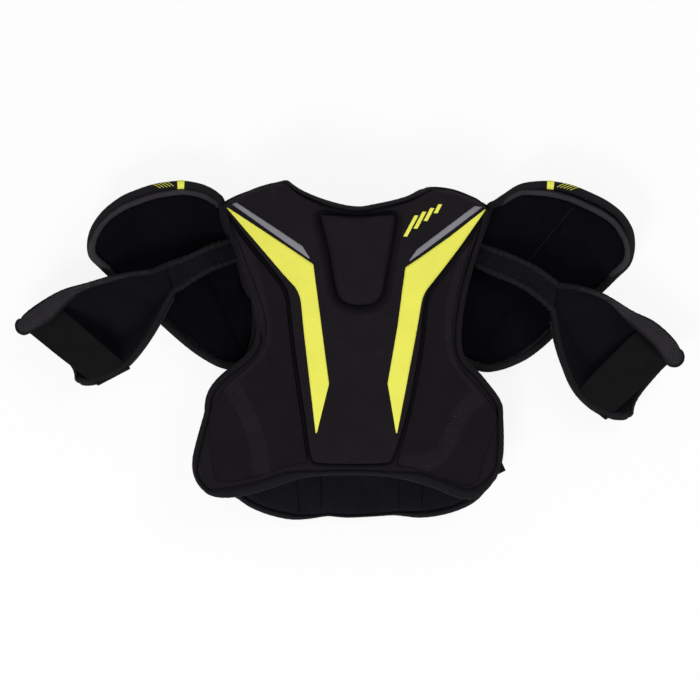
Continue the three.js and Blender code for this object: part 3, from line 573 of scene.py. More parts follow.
lining_cloth = cloth_of("lining_cloth", (0.0064, 0.0060, 0.0088), shine=0.1)
neck_cloth = tape_of("neck_cloth", (0.0056, 0.0046, 0.0062))
binding_cloth = tape_of("binding_cloth", (0.0034, 0.0025, 0.0042), shine=0.13)
dress(back_cover, lining_cloth, "back", "foam", "back_panel", fill=0.7)

# Bindings of the back: tape folded over the panel's edge and stitched down, round the neck,
# the armholes and the hem.
CREASES = (0.9, np.pi - 0.9)
CREASE_HALF = 0.22
PUCKER_PITCHES = (5.1, 8.3, 21, 47)


def roll(
    name, path, side, up, closed=False, pucker=0.03, sides=20, seed=1, crease=0.12, blunt=False
):
    """A bound edge: an ellipse carried along a path and kept upright. Its size ripples with
    the tape's puckers, and a crease runs where the tape's edge is stitched down."""
    path = np.asarray(path, float)
    count = len(path)
    if closed:
        step = np.roll(path, -1, axis=0) - np.roll(path, 1, axis=0)
    else:
        step = np.gradient(path, axis=0)
    step /= np.linalg.norm(step, axis=1)[:, None]
    across = np.cross([0, 0, 1], step)
    across /= np.linalg.norm(across, axis=1)[:, None]
    rise = np.cross(step, across)
    gone = lengths_along(path)
    angle = np.linspace(0, TURN, sides, endpoint=False)
    wander = np.random.default_rng(seed).uniform(0, TURN, 4)
    waves = [np.sin(TURN * gone / pitch + w) for pitch, w in zip(PUCKER_PITCHES, wander)]
    ripple = 1 + pucker * (0.5 * waves[0] * waves[2] + 0.4 * waves[1] + 0.6 * waves[3])
    if not closed and not blunt:
        taper = np.minimum(gone, gone[-1] - gone) / side
        ripple = ripple * np.sqrt(np.clip(1 - (1 - np.clip(taper, 0, 1)) ** 2, 0.04, 1))
    notch = 1 - crease * sum(np.exp(-(((angle - a) / CREASE_HALF) ** 2)) for a in CREASES)
    out = ripple[:, None] * notch
    side = np.broadcast_to(side, count)
    rings = path[:, None] + across[:, None] * (side[:, None] * out * np.cos(angle))[..., None]
    rings = rings + rise[:, None] * (up * out * np.sin(angle))[..., None]
    cloth = np.stack(np.broadcast_arrays(gone[:, None], angle * side.mean()), axis=-1)
    cloth = cloth.reshape(-1, 2)
    if closed:
        faces = grid_faces(count, sides, wrap=True)
        last = (count - 1) * sides + np.arange(sides)
        first = np.arange(sides)
        join = np.stack([last, np.roll(last, -1), np.roll(first, -1), first], axis=1)
        return put_mesh(name, rings.reshape(-1, 3), [faces, join], cloth)
    cloth = np.concatenate([cloth, cloth[:1], cloth[-1:]])
    return ring_body(name, rings, path[0], path[-1], cloth)


def run_of(outline, keep):
    """The unbroken run of a closed outline's points that keep is true for."""
    start = np.flatnonzero(keep & ~np.roll(keep, 1))[0]
    turned = np.roll(np.arange(len(outline)), -start)
    return outline[turned[: int(keep[turned].argmin()) or len(turned)]]


def bindings(prefix, outer, middle_of, body, nodes, slim=1.0):
    """The neck binding and the edge binding of a panel, half its width inside the outline."""
    centre = moved_in(outer, slim * binding_side(outer))[:, :2]
    free = shoulder_gap(centre) > 4.0
    neck = free & (np.abs(centre[:, 0]) < NECK_HALF) & (centre[:, 1] > 100)
    for part, keep, node in (("neck", neck, nodes[0]), ("edge", free & ~neck, nodes[1])):
        line = run_of(centre, keep)
        line = smooth_line(line[::2], int(lengths_along(line)[-1] / BINDING_STEP))
        path = np.column_stack([line, middle_of(line)])
        side = slim * binding_side(line)
        made = roll(prefix + part + "_binding", path, side, BINDING_UP, seed=len(path))
        dress(made, neck_cloth if part == "neck" else binding_cloth, body, "piping", node)


bindings(
    "back_",
    back_edge,
    lambda line: (back_inner(line) + back_outer(line)) / 2,
    "back",
    ("back_neck_piping", "back_edge_piping"),
    BACK_SLIM,
)

# Spine pad under the back: a long foam pad with a flat face, which the whole set rests on.
# A stiff plate lies between it and the back panel.
SPINE_EDGE = [
    (0, 122), (24, 118), (36, 100), (40, 40), (40, -90), (33, -120), (0, -128), (-33, -120),
    (-40, -90), (-40, 40), (-36, 100), (-24, 118),
]
SPINE_PAD_TOP = 5.8
CHANNEL_PITCH = 31.0


def crumple(points, size, seed, octaves=3):
    """Soft folds between -1 and 1: a sum of sine waves that run in random directions, the
    longest of them `size` mm long and each octave half as long and half as high."""
    dice = np.random.default_rng(seed)
    total, weight = 0.0, 0.0
    for octave in range(octaves):
        for _ in range(4):
            turn = dice.uniform(0, TURN)
            length = size * dice.uniform(0.75, 1.3) / 2**octave
            run = points[..., 0] * np.cos(turn) + points[..., 1] * np.sin(turn)
            total = total + np.sin(TURN * run / length + dice.uniform(0, TURN)) / 2**octave
        weight += 2.2 / 2**octave
    return total / weight


def spine_face(points):
    """The pad's underside: flat at the rest plane, with sewn channels across it."""
    run = np.abs(np.mod(points[..., 1] + 15, CHANNEL_PITCH) - CHANNEL_PITCH / 2)
    return 1.4 * np.exp(-((np.minimum(run, 6) / 2.2) ** 2))


spine_edge = smooth_line(SPINE_EDGE, 240, closed=True)
spine_pad = cushion(
    "spine_cushion",
    spine_edge,
    (0.0, 0.0),
    lambda p: np.full(p.shape[:-1], SPINE_PAD_TOP),
    spine_face,
    2.6,
    rings=60,
)
shell_knit = cloth_of("shell_knit", (0.0090, 0.0085, 0.0100), roughness=0.85, pitch=1.2)
dress(spine_pad, shell_knit, "back", "foam", "spine_pad", fill=0.5)

# Chest panel: knitted fabric over 14 mm foam, arched over the ribs and bent down to the
# shoulder seam. Its edge is bound except along the shoulders.
CHEST_EDGE = [
    (-80.1, 181.6), (-97.5, 177.6), (-112.8, 172.1), (-128, 165.6), (-137.9, 159.6),
    (-142.2, 154.7), (-140.6, 142.7), (-136.2, 127.5), (-130.2, 111.1), (-122.6, 89.3),
    (-115, 67.5), (-108.4, 47.9), (-105.2, 29.4), (-105.2, 16.3), (-109, 3.3), (-116.6, -6.5),
    (-127.5, -15.3), (-138.4, -23.4), (-148.2, -32.2), (-155.8, -41.4), (-160.4, -51.2),
    (-162.2, -61), (-162.7, -69.7), (-166.2, -81.7), (-170, -94.8), (-173.3, -107.9),
    (-176, -121), (-176, -132.9), (-172.7, -143.8), (-166.2, -153.1), (-156.4, -160.2),
    (-142.2, -163.2), (-124.8, -161.6), (-98.6, -155.1), (-73.6, -146.3), (-57.2, -141.2),
    (-35.4, -137.9), (-2.8, -136.9), (29.9, -137.9), (51.7, -141.2), (68.1, -144.9),
    (92, -153.1), (111.7, -161.3), (128, -164.5), (138.9, -160.7), (149.8, -150.9),
    (156.9, -140.6), (162.3, -130.8), (165.4, -117.7), (166.1, -104.6), (166.1, -88.3),
    (165.6, -75.2), (165, -63.2), (161.4, -54.5), (155.6, -45.8), (148.7, -37.1),
    (141.4, -28.3), (134, -20.7), (126.4, -13.1), (120.7, -3.3), (119.1, 8.7), (119.6, 26.1),
    (122, 44.7), (125.8, 64.3), (131.3, 85), (137.8, 106.8), (143.8, 125.3), (147.6, 142.7),
    (148.2, 150.9), (142.2, 159.2), (124.7, 167), (108.4, 172.6), (93.1, 174.3), (82, 176.5),
    (73, 172.1), (59.4, 166.5), (41.9, 161.5), (19, 156.6), (7.1, 155.1), (-10.4, 157.1),
    (-33.3, 163.7), (-55, 173), (-65.9, 180.2), (-71.1, 184.1),
]
CHEST_CROWN = 104.0
CHEST_ARCH = 644.0
CHEST_BINDING_SUNK = 6.6


def chest_outer(points):
    """The chest's face: a parabola across the ribs, less the quarter circle of the shoulders,
    with the slight hollows of foam that has been worn."""
    face = CHEST_CROWN - points[..., 0] ** 2 / CHEST_ARCH
    return face - quarter(shoulder_gap(points), OUTER_BEND) + 0.5 * crumple(points, 90, 5)


def chest_inner(points):
    """The chest's lining, and near the shoulder line its cut end at the shoulder seam."""
    gap = shoulder_gap(points)
    face = CHEST_CROWN - FOAM - points[..., 0] ** 2 / CHEST_ARCH
    inner = face - quarter(gap - FOAM, INNER_BEND)
    return np.where(gap < FOAM, SEAM_Z + SEAM_GAP / 2, inner)


chest_edge, chest_wall, chest_soft = edged(CHEST_EDGE, 480)
chest_cover = cushion(
    "chest_cover",
    chest_wall,
    VEST_CENTRE,
    chest_outer,
    chest_inner,
    PANEL_ROUND,
    soft=chest_soft,
)
vest_knit = cloth_of("vest_knit", (0.0058, 0.0044, 0.0062), pitch=1.3, lint=0.2)
dress(chest_cover, vest_knit, "chest", "foam", "chest_panel", fill=0.7)
bindings(
    "chest_",
    chest_edge,
    lambda line: chest_outer(line) - CHEST_BINDING_SUNK,
    "chest",
    ("chest_neck_piping", "chest_edge_piping"),
)

# Front yoke: a second layer of foam from the shoulders to a square end over the belly. A
# groove is pressed round the place of the sternum pad.
YOKE_EDGE = [
    (-139.9, 154.5), (-133.9, 146.3), (-122, 130.1), (-102.5, 105.7), (-83, 81.8),
    (-74.3, 70.4), (-69.4, 58.5), (-67.3, 42.3), (-63.5, 8.7), (-58, -31.5), (-51.9, -71.6),
    (-48.3, -98.7), (-45, -117.1), (-41.2, -122.5), (-33.1, -124.1), (-0.6, -124.7),
    (31.9, -124.1), (40.6, -122), (44.9, -114.9), (48.7, -104.1), (54.7, -85.7),
    (61.2, -60.7), (67.7, -28.2), (73.7, 8.7), (76.7, 40.1), (79.6, 56.4), (86.1, 69.4),
    (105.7, 95.4), (125.2, 121.4), (138.2, 139.3), (146.8, 152.3), (141.4, 158.4),
    (124.1, 166.2), (107.8, 171.7), (92.6, 173.2), (80.7, 169.6), (66.6, 162), (51.5, 156.1),
    (35.2, 151.1), (18.9, 147.4), (2.7, 146.3), (-13.6, 148.2), (-29.9, 153.1),
    (-43.9, 159.6), (-57, 166.9), (-66.7, 174.5), (-71, 178.9), (-79.7, 180.5),
    (-97.1, 176.7), (-112.2, 171.3), (-127.4, 164.8),
]
STERNUM_EDGE = [
    (-33, 148.1), (4.8, 146), (41.6, 148.1), (48.1, 142.7), (46.4, 126.5), (41.6, 100.5),
    (37.8, 76.8), (33.5, 58.4), (24.3, 48.1), (10.2, 44.9), (-3.8, 46.5), (-15.2, 53.5),
    (-21.1, 68.1), (-26, 97.3), (-32.5, 125.4), (-36.8, 142.7),
]
YOKE_RISE = 5.6
GROOVE_DEPTH = 5.0
sternum_edge = smooth_line(STERNUM_EDGE, 300, closed=True)
yoke_edge = smooth_line(YOKE_EDGE, 620, closed=True)


def yoke_face(points):
    """The yoke's face before its edge is rounded: the chest's face raised, less a bell shaped
    groove round the sternum pad, and with the shallow sags of a knit that is stretched."""
    gap = gap_to(points, sternum_edge, True)
    groove = GROOVE_DEPTH * np.exp(-((np.maximum(gap - 1.5, 0) / 3.8) ** 2))
    groove = groove - 0.9 * np.exp(-(((gap - 9.5) / 4.0) ** 2))
    return chest_outer(points) + YOKE_RISE - groove + 0.25 * crumple(points, 60, 8)


YOKE_ROUND = 3.6


def yoke_top(points):
    """The yoke's finished face, with the quarter circle of its edge."""
    return yoke_face(points) - quarter(gap_to(points, yoke_edge, True), YOKE_ROUND)


yoke = cushion(
    "yoke_cushion",
    yoke_edge,
    VEST_CENTRE,
    yoke_face,
    lambda p: chest_outer(p) + 0.2,
    YOKE_ROUND,
    rings=90,
    walls=1,
)
yoke_knit = cloth_of("yoke_knit", (0.0066, 0.0048, 0.0070), pitch=1.1, depth=0.2, lint=0.3)
dress(yoke, yoke_knit, "chest", "foam", "front_yoke", fill=0.6)

# Sternum pad: a moulded foam pad over a stiff plate, pressed flat in its middle. It is the
# thickest pad of the front, and its cover is blown up as cloth.
STERNUM_CENTRE = (6.0, 97.0)
STERNUM_RISE = 5.4


def sternum_face(points):
    """The pad's face: raised over the yoke, crowned by a shallow parabola up and down, and
    pressed in by a millimetre within its border."""
    flat = CHEST_CROWN - points[..., 0] ** 2 / CHEST_ARCH
    run = (points[..., 1] - STERNUM_CENTRE[1]) / 50
    dish = 1.1 * eased(gap_to(points, sternum_edge, True), 0, 11)
    folds = 0.15 * crumple(points, 40, 3)
    return flat + YOKE_RISE + STERNUM_RISE - dish - 0.8 * run**2 + folds


sternum = cushion(
    "sternum_cushion",
    moved_in(sternum_edge, 2.8),
    STERNUM_CENTRE,
    sternum_face,
    lambda p: chest_outer(p) + YOKE_RISE - GROOVE_DEPTH + 0.2,
    4.4,
    rings=44,
)


def points_of(mesh):
    """A mesh's points in metres."""
    flat = np.empty(len(mesh.vertices) * 3, np.float32)
    mesh.vertices.foreach_get("co", flat)
    return flat.reshape(-1, 3)


def move_points(mesh, points):
    """Puts a mesh's points at places in metres."""
    mesh.vertices.foreach_set("co", points.astype(np.float32).ravel())


def settled(piece):
    """The mesh of a piece as its modifiers leave it, which are then removed."""
    seen = piece.evaluated_get(bpy.context.evaluated_depsgraph_get())
    mesh = bpy.data.meshes.new_from_object(seen)
    piece.modifiers.clear()
    return mesh


PUFF_FRAMES = 20
PUFF_PRESSURE = 4.0
PUFF_STIFFNESS = 25


def puffed(piece, voxel, most):
    """Foam that swells its cover: the pad is remeshed into even faces and blown up as cloth
    with no gravity. A point's move is then scaled down to `most` mm if it is longer, and the
    cloth's place is taken from the plan."""
    even = piece.modifiers.new("even", "REMESH")
    even.mode = "VOXEL"
    even.voxel_size = voxel / 1000
    mesh = piece.data = settled(piece)
    cloth = piece.modifiers.new("cloth", "CLOTH")
    cloth.settings.use_pressure = True
    cloth.settings.uniform_pressure_force = PUFF_PRESSURE
    cloth.settings.effector_weights.gravity = 0
    cloth.settings.tension_stiffness = PUFF_STIFFNESS
    cloth.settings.compression_stiffness = PUFF_STIFFNESS
    for number in range(PUFF_FRAMES):
        bpy.context.scene.frame_set(number + 1)
    start, end = points_of(mesh), points_of(settled(piece))
    bpy.context.scene.frame_set(1)
    far = np.maximum(np.linalg.norm(end - start, axis=1), 1e-9)
    end = start + (end - start) * np.minimum(1, most / 1000 / far)[:, None]
    move_points(mesh, end)
    for old in list(mesh.uv_layers):
        mesh.uv_layers.remove(old)
    lay_cloth(mesh, end[:, :2] * 1000)
    mesh.shade_smooth()
    smooth = piece.modifiers.new("smooth", "SUBSURF")
    smooth.levels = smooth.render_levels = 1


puffed(sternum, 3.0, 2.2)
sternum_knit = cloth_of(
    "sternum_knit", (0.0064, 0.0048, 0.0066), pitch=1.1, depth=0.2, lint=0.2
)
dress(sternum, sternum_knit, "chest", "foam", "sternum_pad", fill=0.7)

# Side panels: stretch mesh over thin foam, from the armholes to the hem. Bands of air holes
# run down each of them.
SIDE_PANELS = (
    (
        "left",
        [
            (-133.8, 141.4), (-128.9, 128.3), (-122.4, 112), (-113.7, 89.2), (-105.5, 67.4),
            (-98.5, 47.8), (-94.7, 29.4), (-94.1, 14.1), (-98.1, 0), (-106.6, -12.5),
            (-118.6, -23.4), (-131.1, -33.7), (-140.9, -43.5), (-148.2, -53.8),
            (-153.9, -64.2), (-157.2, -75.1), (-156.9, -88.1), (-155.2, -102.2),
            (-152.8, -122.9), (-151, -137.1), (-147.4, -142.5), (-139.8, -144.7),
            (-122.4, -143), (-98.5, -136.5), (-73.4, -128.4), (-57.1, -124), (-49.5, -121.8),
            (-51.7, -104.4), (-56, -72.9), (-62, -32.6), (-67.2, 7.6), (-70.9, 41.3),
            (-72.9, 56), (-77.8, 68), (-86.5, 79.4), (-106.1, 103.3), (-124.6, 126.2),
        ],
        [
            (-126.7, 129.4), (-119.1, 107.7), (-111.5, 83.7), (-103.9, 56.5), (-98.5, 31.5),
            (-98.5, 9.8), (-108.2, -7.6), (-122.4, -20.7), (-133.3, -32.6), (-128.9, -46.8),
            (-119.1, -62), (-110.4, -81.6), (-103.9, -101.2), (-100.1, -121.8),
            (-98.5, -138.1),
        ],
        (-86.0, -30.0),
    ),
    (
        "right",
        [
            (140.8, 139.2), (132.7, 124), (126.7, 105.5), (120.2, 83.7), (114.7, 63.1),
            (110.9, 43.5), (108.5, 25), (108.5, 7.6), (111.2, -7.6), (117.4, -20.7),
            (126.1, -30.5), (135.4, -40.8), (143.5, -50), (150.6, -58.7), (156, -67.4),
            (158.2, -77.2), (154.7, -91.4), (150.1, -103.3), (145.5, -114.2), (141.9, -125.1),
            (139.2, -136), (135.4, -145.2), (126.7, -148.5), (111.5, -145.2), (91.9, -137.6),
            (69, -130), (52.7, -126.2), (48.9, -123.5), (52.2, -107.7), (58.7, -87),
            (65.2, -62), (71.8, -29.4), (77.7, 7.6), (80.8, 39.1), (83.5, 54.4), (90.2, 66.9),
            (109.8, 92.4), (128.9, 118),
        ],
        [
            (136.5, 127.2), (127.8, 105.5), (119.1, 79.4), (112.5, 53.3), (109.3, 26.1),
            (110.4, 4.3), (119.1, -15.2), (129.9, -30.5), (139.7, -43.5), (135.4, -54.4),
            (123.4, -64.2), (113.6, -81.6), (104.9, -99), (95.1, -115.3), (77.7, -124),
            (58.2, -124.5),
        ],
        (82.0, -30.0),
    ),
)
SIDE_RISE = 2.4
SIDE_ROUND = 2.0
BAND_HALF = 9.3
BAND_FADE = 3.0
side_mesh = cloth_of(
    "side_mesh",
    (0.0037, 0.0026, 0.0042),
    pitch=1.4,
    hole_pitch=3.0,
    hole_tone=7.0,
    band=True,
    lint=0.15,
)


def side_face(points):
    """The side panels' face before the edge is rounded: the chest's, raised and crumpled."""
    return chest_outer(points) + SIDE_RISE + 0.35 * crumple(points, 45, 12)


def mark_band(piece, share):
    """Writes the attribute that says where the air holes are: 1 in the band, 0 outside."""
    layer = piece.data.attributes.new("band", "FLOAT", "POINT")
    layer.data.foreach_set("value", share.astype(np.float32).ravel())


for side, edge, band, centre in SIDE_PANELS:
    panel = cushion(
        side + "_side_panel",
        smooth_line(edge, 420, closed=True),
        centre,
        side_face,
        lambda p: chest_outer(p) + 0.1,
        SIDE_ROUND,
        rings=60,
        walls=1,
    )
    off = gap_to(points_of(panel.data) * 1000.0, smooth_line(band, 80)) - BAND_HALF
    mark_band(panel, ramp(off, BAND_FADE / 2, -BAND_FADE / 2))
    dress(panel, side_mesh, "chest", "mesh", side + "_rib_pad", side + "_lower_pad", fill=0.4)

# Sunk seams: a cord of stitched tape lies in the groove round the sternum pad and in the
# valley round the yoke. It is darker and duller than the yoke's cloth: partly the tape's own
# dark, partly painted shade of the groove and the valley.
YOKE_SEAM_TOP = 138.0
# The cord's colour is the tape's own dark together with painted shade of the groove.
seam_shade_tape = cloth_of(
    "seam_shade_tape", (0.0030, 0.0024, 0.0034), roughness=0.9, shine=0.06, lint=0.0
)
round_pad = smooth_line(moved_in(sternum_edge, 0.3)[::4], 420, closed=True)
path = np.column_stack([round_pad, yoke_face(round_pad) + 0.7])
seam = roll("sternum_seam_shade", path, 2.1, 1.1, closed=True, sides=12)
dress(seam, seam_shade_tape, "chest", "piping")
round_yoke = smooth_line(moved_in(yoke_edge, -1.5)[::4], 900, closed=True)
valley = run_of(round_yoke, round_yoke[:, 1] < YOKE_SEAM_TOP)
path = np.column_stack([valley, chest_outer(valley) + 1.3])
dress(roll("yoke_seam_shade", path, 1.5, 1.0, sides=12), seam_shade_tape, "chest", "piping")

# Printed film on the yoke: a long yellow strip and a thin grey stripe on each side, and a
# mark of slanted bars on the right shoulder.
STRIPS = (
    (
        "left",
        [
            (-137.4, 154.2), (-102.4, 113.2), (-75.3, 81.4), (-66.3, 71.6), (-62.5, 67.5),
            (-59.5, 62.8), (-57.3, 56.9), (-55.8, 49.8), (-53, 20.6), (-46.4, -36.8),
            (-40, -91),
        ],
        [
            (-136.3, 154.3), (-93.7, 126.2), (-61.2, 104.5), (-42.5, 91.8), (-42, 87.7),
            (-41.4, 83.4), (-40.7, 77.4), (-39.3, 67.1), (-34.6, 31.4), (-25.5, -37.9),
            (-38.7, -91),
        ],
    ),
    (
        "right",
        [
            (145.5, 152), (117.5, 111.8), (95.8, 83.4), (84.7, 69.7), (80.7, 64.7),
            (78, 60.1), (76.1, 55.2), (74.8, 49.8), (69.8, 20.6), (59, -36.8), (48.4, -91),
        ],
        [
            (144.6, 152.7), (105.6, 122), (73.1, 99), (57.5, 88.6), (56.8, 85), (56.2, 80.1),
            (55.3, 73.6), (54.1, 65), (49, 26), (38, -37.5), (47.1, -91),
        ],
    ),
)
STRIPES = (
    (
        "left",
        [(-126.6, 159.7), (-90.5, 135.8), (-54.4, 111.6), (-46.4, 98.6)],
        [(-131.7, 158), (-93.8, 130.8), (-55.5, 103.7), (-47.2, 97.8)],
    ),
    (
        "right",
        [(133.3, 156), (101.3, 131.9), (69.6, 107.7), (61.5, 95.9)],
        [(141.9, 155), (107.8, 129), (75.3, 104.6), (62.2, 95.4)],
    ),
)
FILM = 0.55
FILM_SUNK = 0.3


def between(name, upper, lower, cloth):
    """A closed skin between an upper and a lower grid, with walls at the borders. Cloth is
    the place of the upper grid's points, and of the lower one's too."""
    rows, columns = upper.shape[:2]
    count = rows * columns
    index = np.arange(count).reshape(rows, columns)
    rim = np.concatenate([index[0], index[1:, -1], index[-1, -2::-1], index[-2:0:-1, 0]])
    after = np.roll(rim, -1)
    faces = grid_faces(rows, columns)
    walls = np.stack([after, rim, rim + count, after + count], axis=1)
    points = np.concatenate([upper.reshape(-1, 3), lower.reshape(-1, 3)])
    cloth = np.concatenate([cloth.reshape(-1, 2)] * 2)
    return put_mesh(name, points, [faces, faces[:, ::-1] + count, walls], cloth)


def film_of(name, one, other, across, along):
    """A thin printed film between two chains of points: a grid drawn straight across from
    one chain to the other and laid on the yoke."""
    places, marks = np.linspace(0, len(one) - 1, along), np.arange(len(one))
    start, end = (points_at(places, marks, np.array(chain))[:, None] for chain in (one, other))
    share = np.linspace(0, 1, across)[None, :, None]
    flat = start * (1 - share) + end * share
    floor = yoke_top(flat) + 0.02
    return between(
        name, np.dstack([flat, floor + FILM]), np.dstack([flat, floor - FILM_SUNK]), flat
    )


def film_finish(name, colour, roughness):
    """Screen print on knit: a bright film whose surface still shows the loops under it."""
    return cloth_of(
        name,
        colour,
        roughness,
        shine=0.2,
        pitch=1.2,
        depth=0.12,
        lint=0.0,
        fold=0.7,
        worn=0.02,
    )


YELLOW = (0.83, 0.82, 0.105)
yellow_film = film_finish("yellow_film", YELLOW, 0.6)
grey_film = film_finish("grey_film", (0.215, 0.212, 0.235), 0.5)
for side, outer, inner in STRIPS:
    strip = film_of(side + "_strip_film", outer, inner, 10, 10 * 12 + 1)
    dress(strip, yellow_film, "chest", "yellow", side + "_yellow_strip")
for side, upper, lower in STRIPES:
    stripe = film_of(side + "_stripe_film", upper, lower, 4, 3 * 16 + 1)
    dress(stripe, grey_film, "chest", "grey", side + "_grey_stripe")

MARK_SLANT = np.radians(62)
MARK_BAR_WIDTH = 4.4
MARK_STEP = np.array([11, 8.5])
slant = np.array([np.cos(MARK_SLANT), np.sin(MARK_SLANT)])
for k in range(4):
    foot = np.array([55, 122]) + k * MARK_STEP
    chain = np.stack([foot, foot + (26 - 5 * k) * slant])
    bar = film_of(f"mark_bar_film_{k + 1}", chain, chain + [MARK_BAR_WIDTH, 0], 5, 21)
    dress(bar, yellow_film, "chest", "yellow", f"mark_bar_{k + 1}")

# Shoulder seams: a strip of lining cloth joins chest and back outside each shoulder, where
# it would fold if the chest were opened like a book.
JOIN_THICK = 0.9
JOIN_OUT = (-0.4, 0.2, 0.4, 0.2, -0.4)
JOIN_LEVELS = (58.0, SEAM_Z, 38.0)
JOIN_FOLD = (36.0, 58.0)


def blended(first, second, start, end):
    """Two bodies and two places of a joint, from millimetres to metres: dress takes them as the
    body but attaches the piece to neither.
    """
    return first, second, tuple(np.array(start) / 1000), tuple(np.array(end) / 1000)


for side, line in (("left", SHOULDER_LEFT), ("right", SHOULDER_RIGHT)):
    centre = smooth_line(line, 60)
    out = np.gradient(centre, axis=0) @ np.array([[0, 1], [-1, 0]])
    out /= np.linalg.norm(out, axis=1)[:, None]
    out *= np.sign(out[:, 1:2])
    middle = [np.full(60, level) for level in JOIN_LEVELS]
    levels = (chest_outer(centre) + 0.5, *middle, back_outer(centre) - 0.5)
    guides = [
        np.column_stack([centre + out * push, level]) for push, level in zip(JOIN_OUT, levels)
    ]
    rows = catmull(np.stack(guides), np.linspace(0, 4, 33))
    inner = rows - JOIN_THICK * np.column_stack([out, np.zeros(60)])
    skin = between(side + "_shoulder_join", rows, inner, rows[..., ::2])
    low, high = (np.append(centre[30], level) for level in JOIN_FOLD)
    dress(skin, vest_knit, blended("back", "chest", low, high), "foam")

# Shoulder caps: bowls that lie on their backs and show their linings. Each has a thin moulded
# shell with a black rolled rim, a grey binding inside it and a quilted lining. The last
# lists say how far inside the rim the lining ends, by the bearing in degrees.
CAPS = (
    (
        "left",
        -1,
        [
            (-140.9, 164, 44), (-147.5, 172, 48), (-156.6, 177.9, 52), (-169.6, 182.5, 55),
            (-187.1, 185, 57), (-204.6, 183.6, 58), (-220, 180.8, 58), (-237.5, 175.1, 58),
            (-254, 167.8, 58), (-271.5, 154.7, 58), (-282.5, 142.1, 57), (-289.2, 129, 56),
            (-292, 114.2, 54), (-289.9, 100.7, 46), (-279.6, 89.3, 36), (-261.5, 71.9, 26),
            (-237.6, 49.9, 18), (-213.4, 27.7, 15), (-185.6, 3.3, 17), (-164.2, -11.6, 27),
            (-144, -21.5, 34), (-124.1, -23.2, 36), (-110.9, -9.9, 34), (-103.3, 15.5, 31),
            (-103.3, 54.1, 29), (-111.6, 68.5, 27), (-124.3, 108.3, 28), (-136.2, 140.1, 36),
        ],
        (-190.0, 82.0),
        -188.7,
        [
            (0, 6), (50, 6), (66, 10.5), (98, 12), (122, 12), (138, 9.5), (151, 8), (164, 5.5),
            (174, 5), (190, 8), (345, 8),
        ],
        (60, 178),
        (164, 302),
    ),
    (
        "right",
        1,
        [
            (147.5, 158.5, 44), (156.8, 164.5, 47), (166.5, 171, 50), (181.7, 180.4, 54),
            (196.9, 184, 57), (217.7, 184.5, 58), (241.9, 179.9, 58), (266, 170, 58),
            (283.6, 160.4, 58), (297.9, 148.3, 57), (307.8, 132.2, 56), (310.6, 117.5, 55),
            (309.7, 103.3, 50), (304.9, 90.8, 44), (293, 78.6, 34), (277, 62.5, 26),
            (252.1, 40.4, 18), (230.1, 19.4, 15), (212.3, 2.8, 17), (194.2, -10.5, 24),
            (176.2, -19.3, 30), (159.5, -24.3, 34), (144, -25.4, 36), (125.2, -19.3, 35),
            (109.8, -6.6, 34), (103.3, 15.5, 31), (103.9, 37.6, 29), (113.3, 68.5, 27),
            (129.9, 108.3, 28), (141.7, 140.1, 36),
        ],
        (201.3, 82.0),
        217.2,
        [
            (0, 6), (12, 6.5), (25, 12), (41, 14), (58, 14.5), (72, 14), (90, 12), (104, 7.5),
            (115, 6), (180, 6), (215, 9), (335, 8), (360, 6),
        ],
        (-4, 118),
        (212, 359.9),
    ),
)
BOWL_FLOOR = 8.0
SHELL = 3.0
QUILTING = {
    "left": ([(-162.2, 85.3), (-143.4, 45.4), (-123.5, 1.1)],),
    "right": (
        [(244.7, 158), (225.9, 134.8), (209.3, 114.9), (198.3, 99.4)],
        [(180, 58.7), (160, 26.6), (143.4, -2.2)],
    ),
}
CAP_SHELL_INSET = 2.0
CAP_RIM = (4.4, 4.8)
CAP_BINDING = (3.9, 4.4)
BINDING_RISE = 5.6
BINDING_DIVE = 5.5
DIVE_LENGTH = 30.0
LINING_LEVELS = (7.6, 1.9)
EDGE_GROOVE = (1.3, 2.0)
QUILT_GROOVE = (2.6, 2.6)
THREAD_LIGHT_ABOVE = 100.0
CAP_TAPE = (4.9, 5.3)
TAPE_HALF = 3.8
HASHES = 5
HASH_START = 7.5
HASH_STEP = 3.7
HASH_LENGTH = 7.5
HASH_TURNS = np.radians([112, 92, 70, 48, 26])
cap_shell_skin = cloth_of(
    "cap_shell_skin",
    (0.0052, 0.0052, 0.0064),
    roughness=0.5,
    shine=0.3,
    depth=0.08,
    fold=1.0,
    lint=0.2,
)
rim_cloth = tape_of("rim_cloth", (0.0034, 0.0030, 0.0042), roughness=0.75)
cap_lining = cloth_of(
    "cap_lining",
    (0.0020, 0.0020, 0.0036),
    roughness=0.95,
    shine=0.06,
    pitch=1.1,
    depth=0.15,
    lint=0.06,
)
cap_grey = tape_of("cap_grey", (0.0300, 0.0262, 0.0312), 0.85, 0.16, lint=0.1)
yellow_tape = cloth_of(
    "yellow_tape", YELLOW, roughness=0.6, shine=0.2, pitch=1.0, depth=0.1, lint=0.0, worn=0.02
)


def bowl_of(rim, centre):
    """Height of a bowl at points in plan: along each ray from the centre it rises with the
    cube of the share of the way to the rim."""
    arm = rim[:, :2] - centre
    angle = np.arctan2(arm[:, 1], arm[:, 0])
    order = np.argsort(angle)
    turns = np.concatenate([angle[order] - TURN, angle[order], angle[order] + TURN])
    reach = np.tile(np.linalg.norm(arm, axis=1)[order], 3)
    level = np.tile(rim[order, 2], 3)

    def height(points):
        away = points[..., :2] - centre
        at = np.arctan2(away[..., 1], away[..., 0])
        share = np.linalg.norm(away, axis=-1) / np.interp(at, turns, reach)
        rise = np.interp(at, turns, level) - BOWL_FLOOR
        return BOWL_FLOOR + rise * np.minimum(share, 1.02) ** 3

    return height


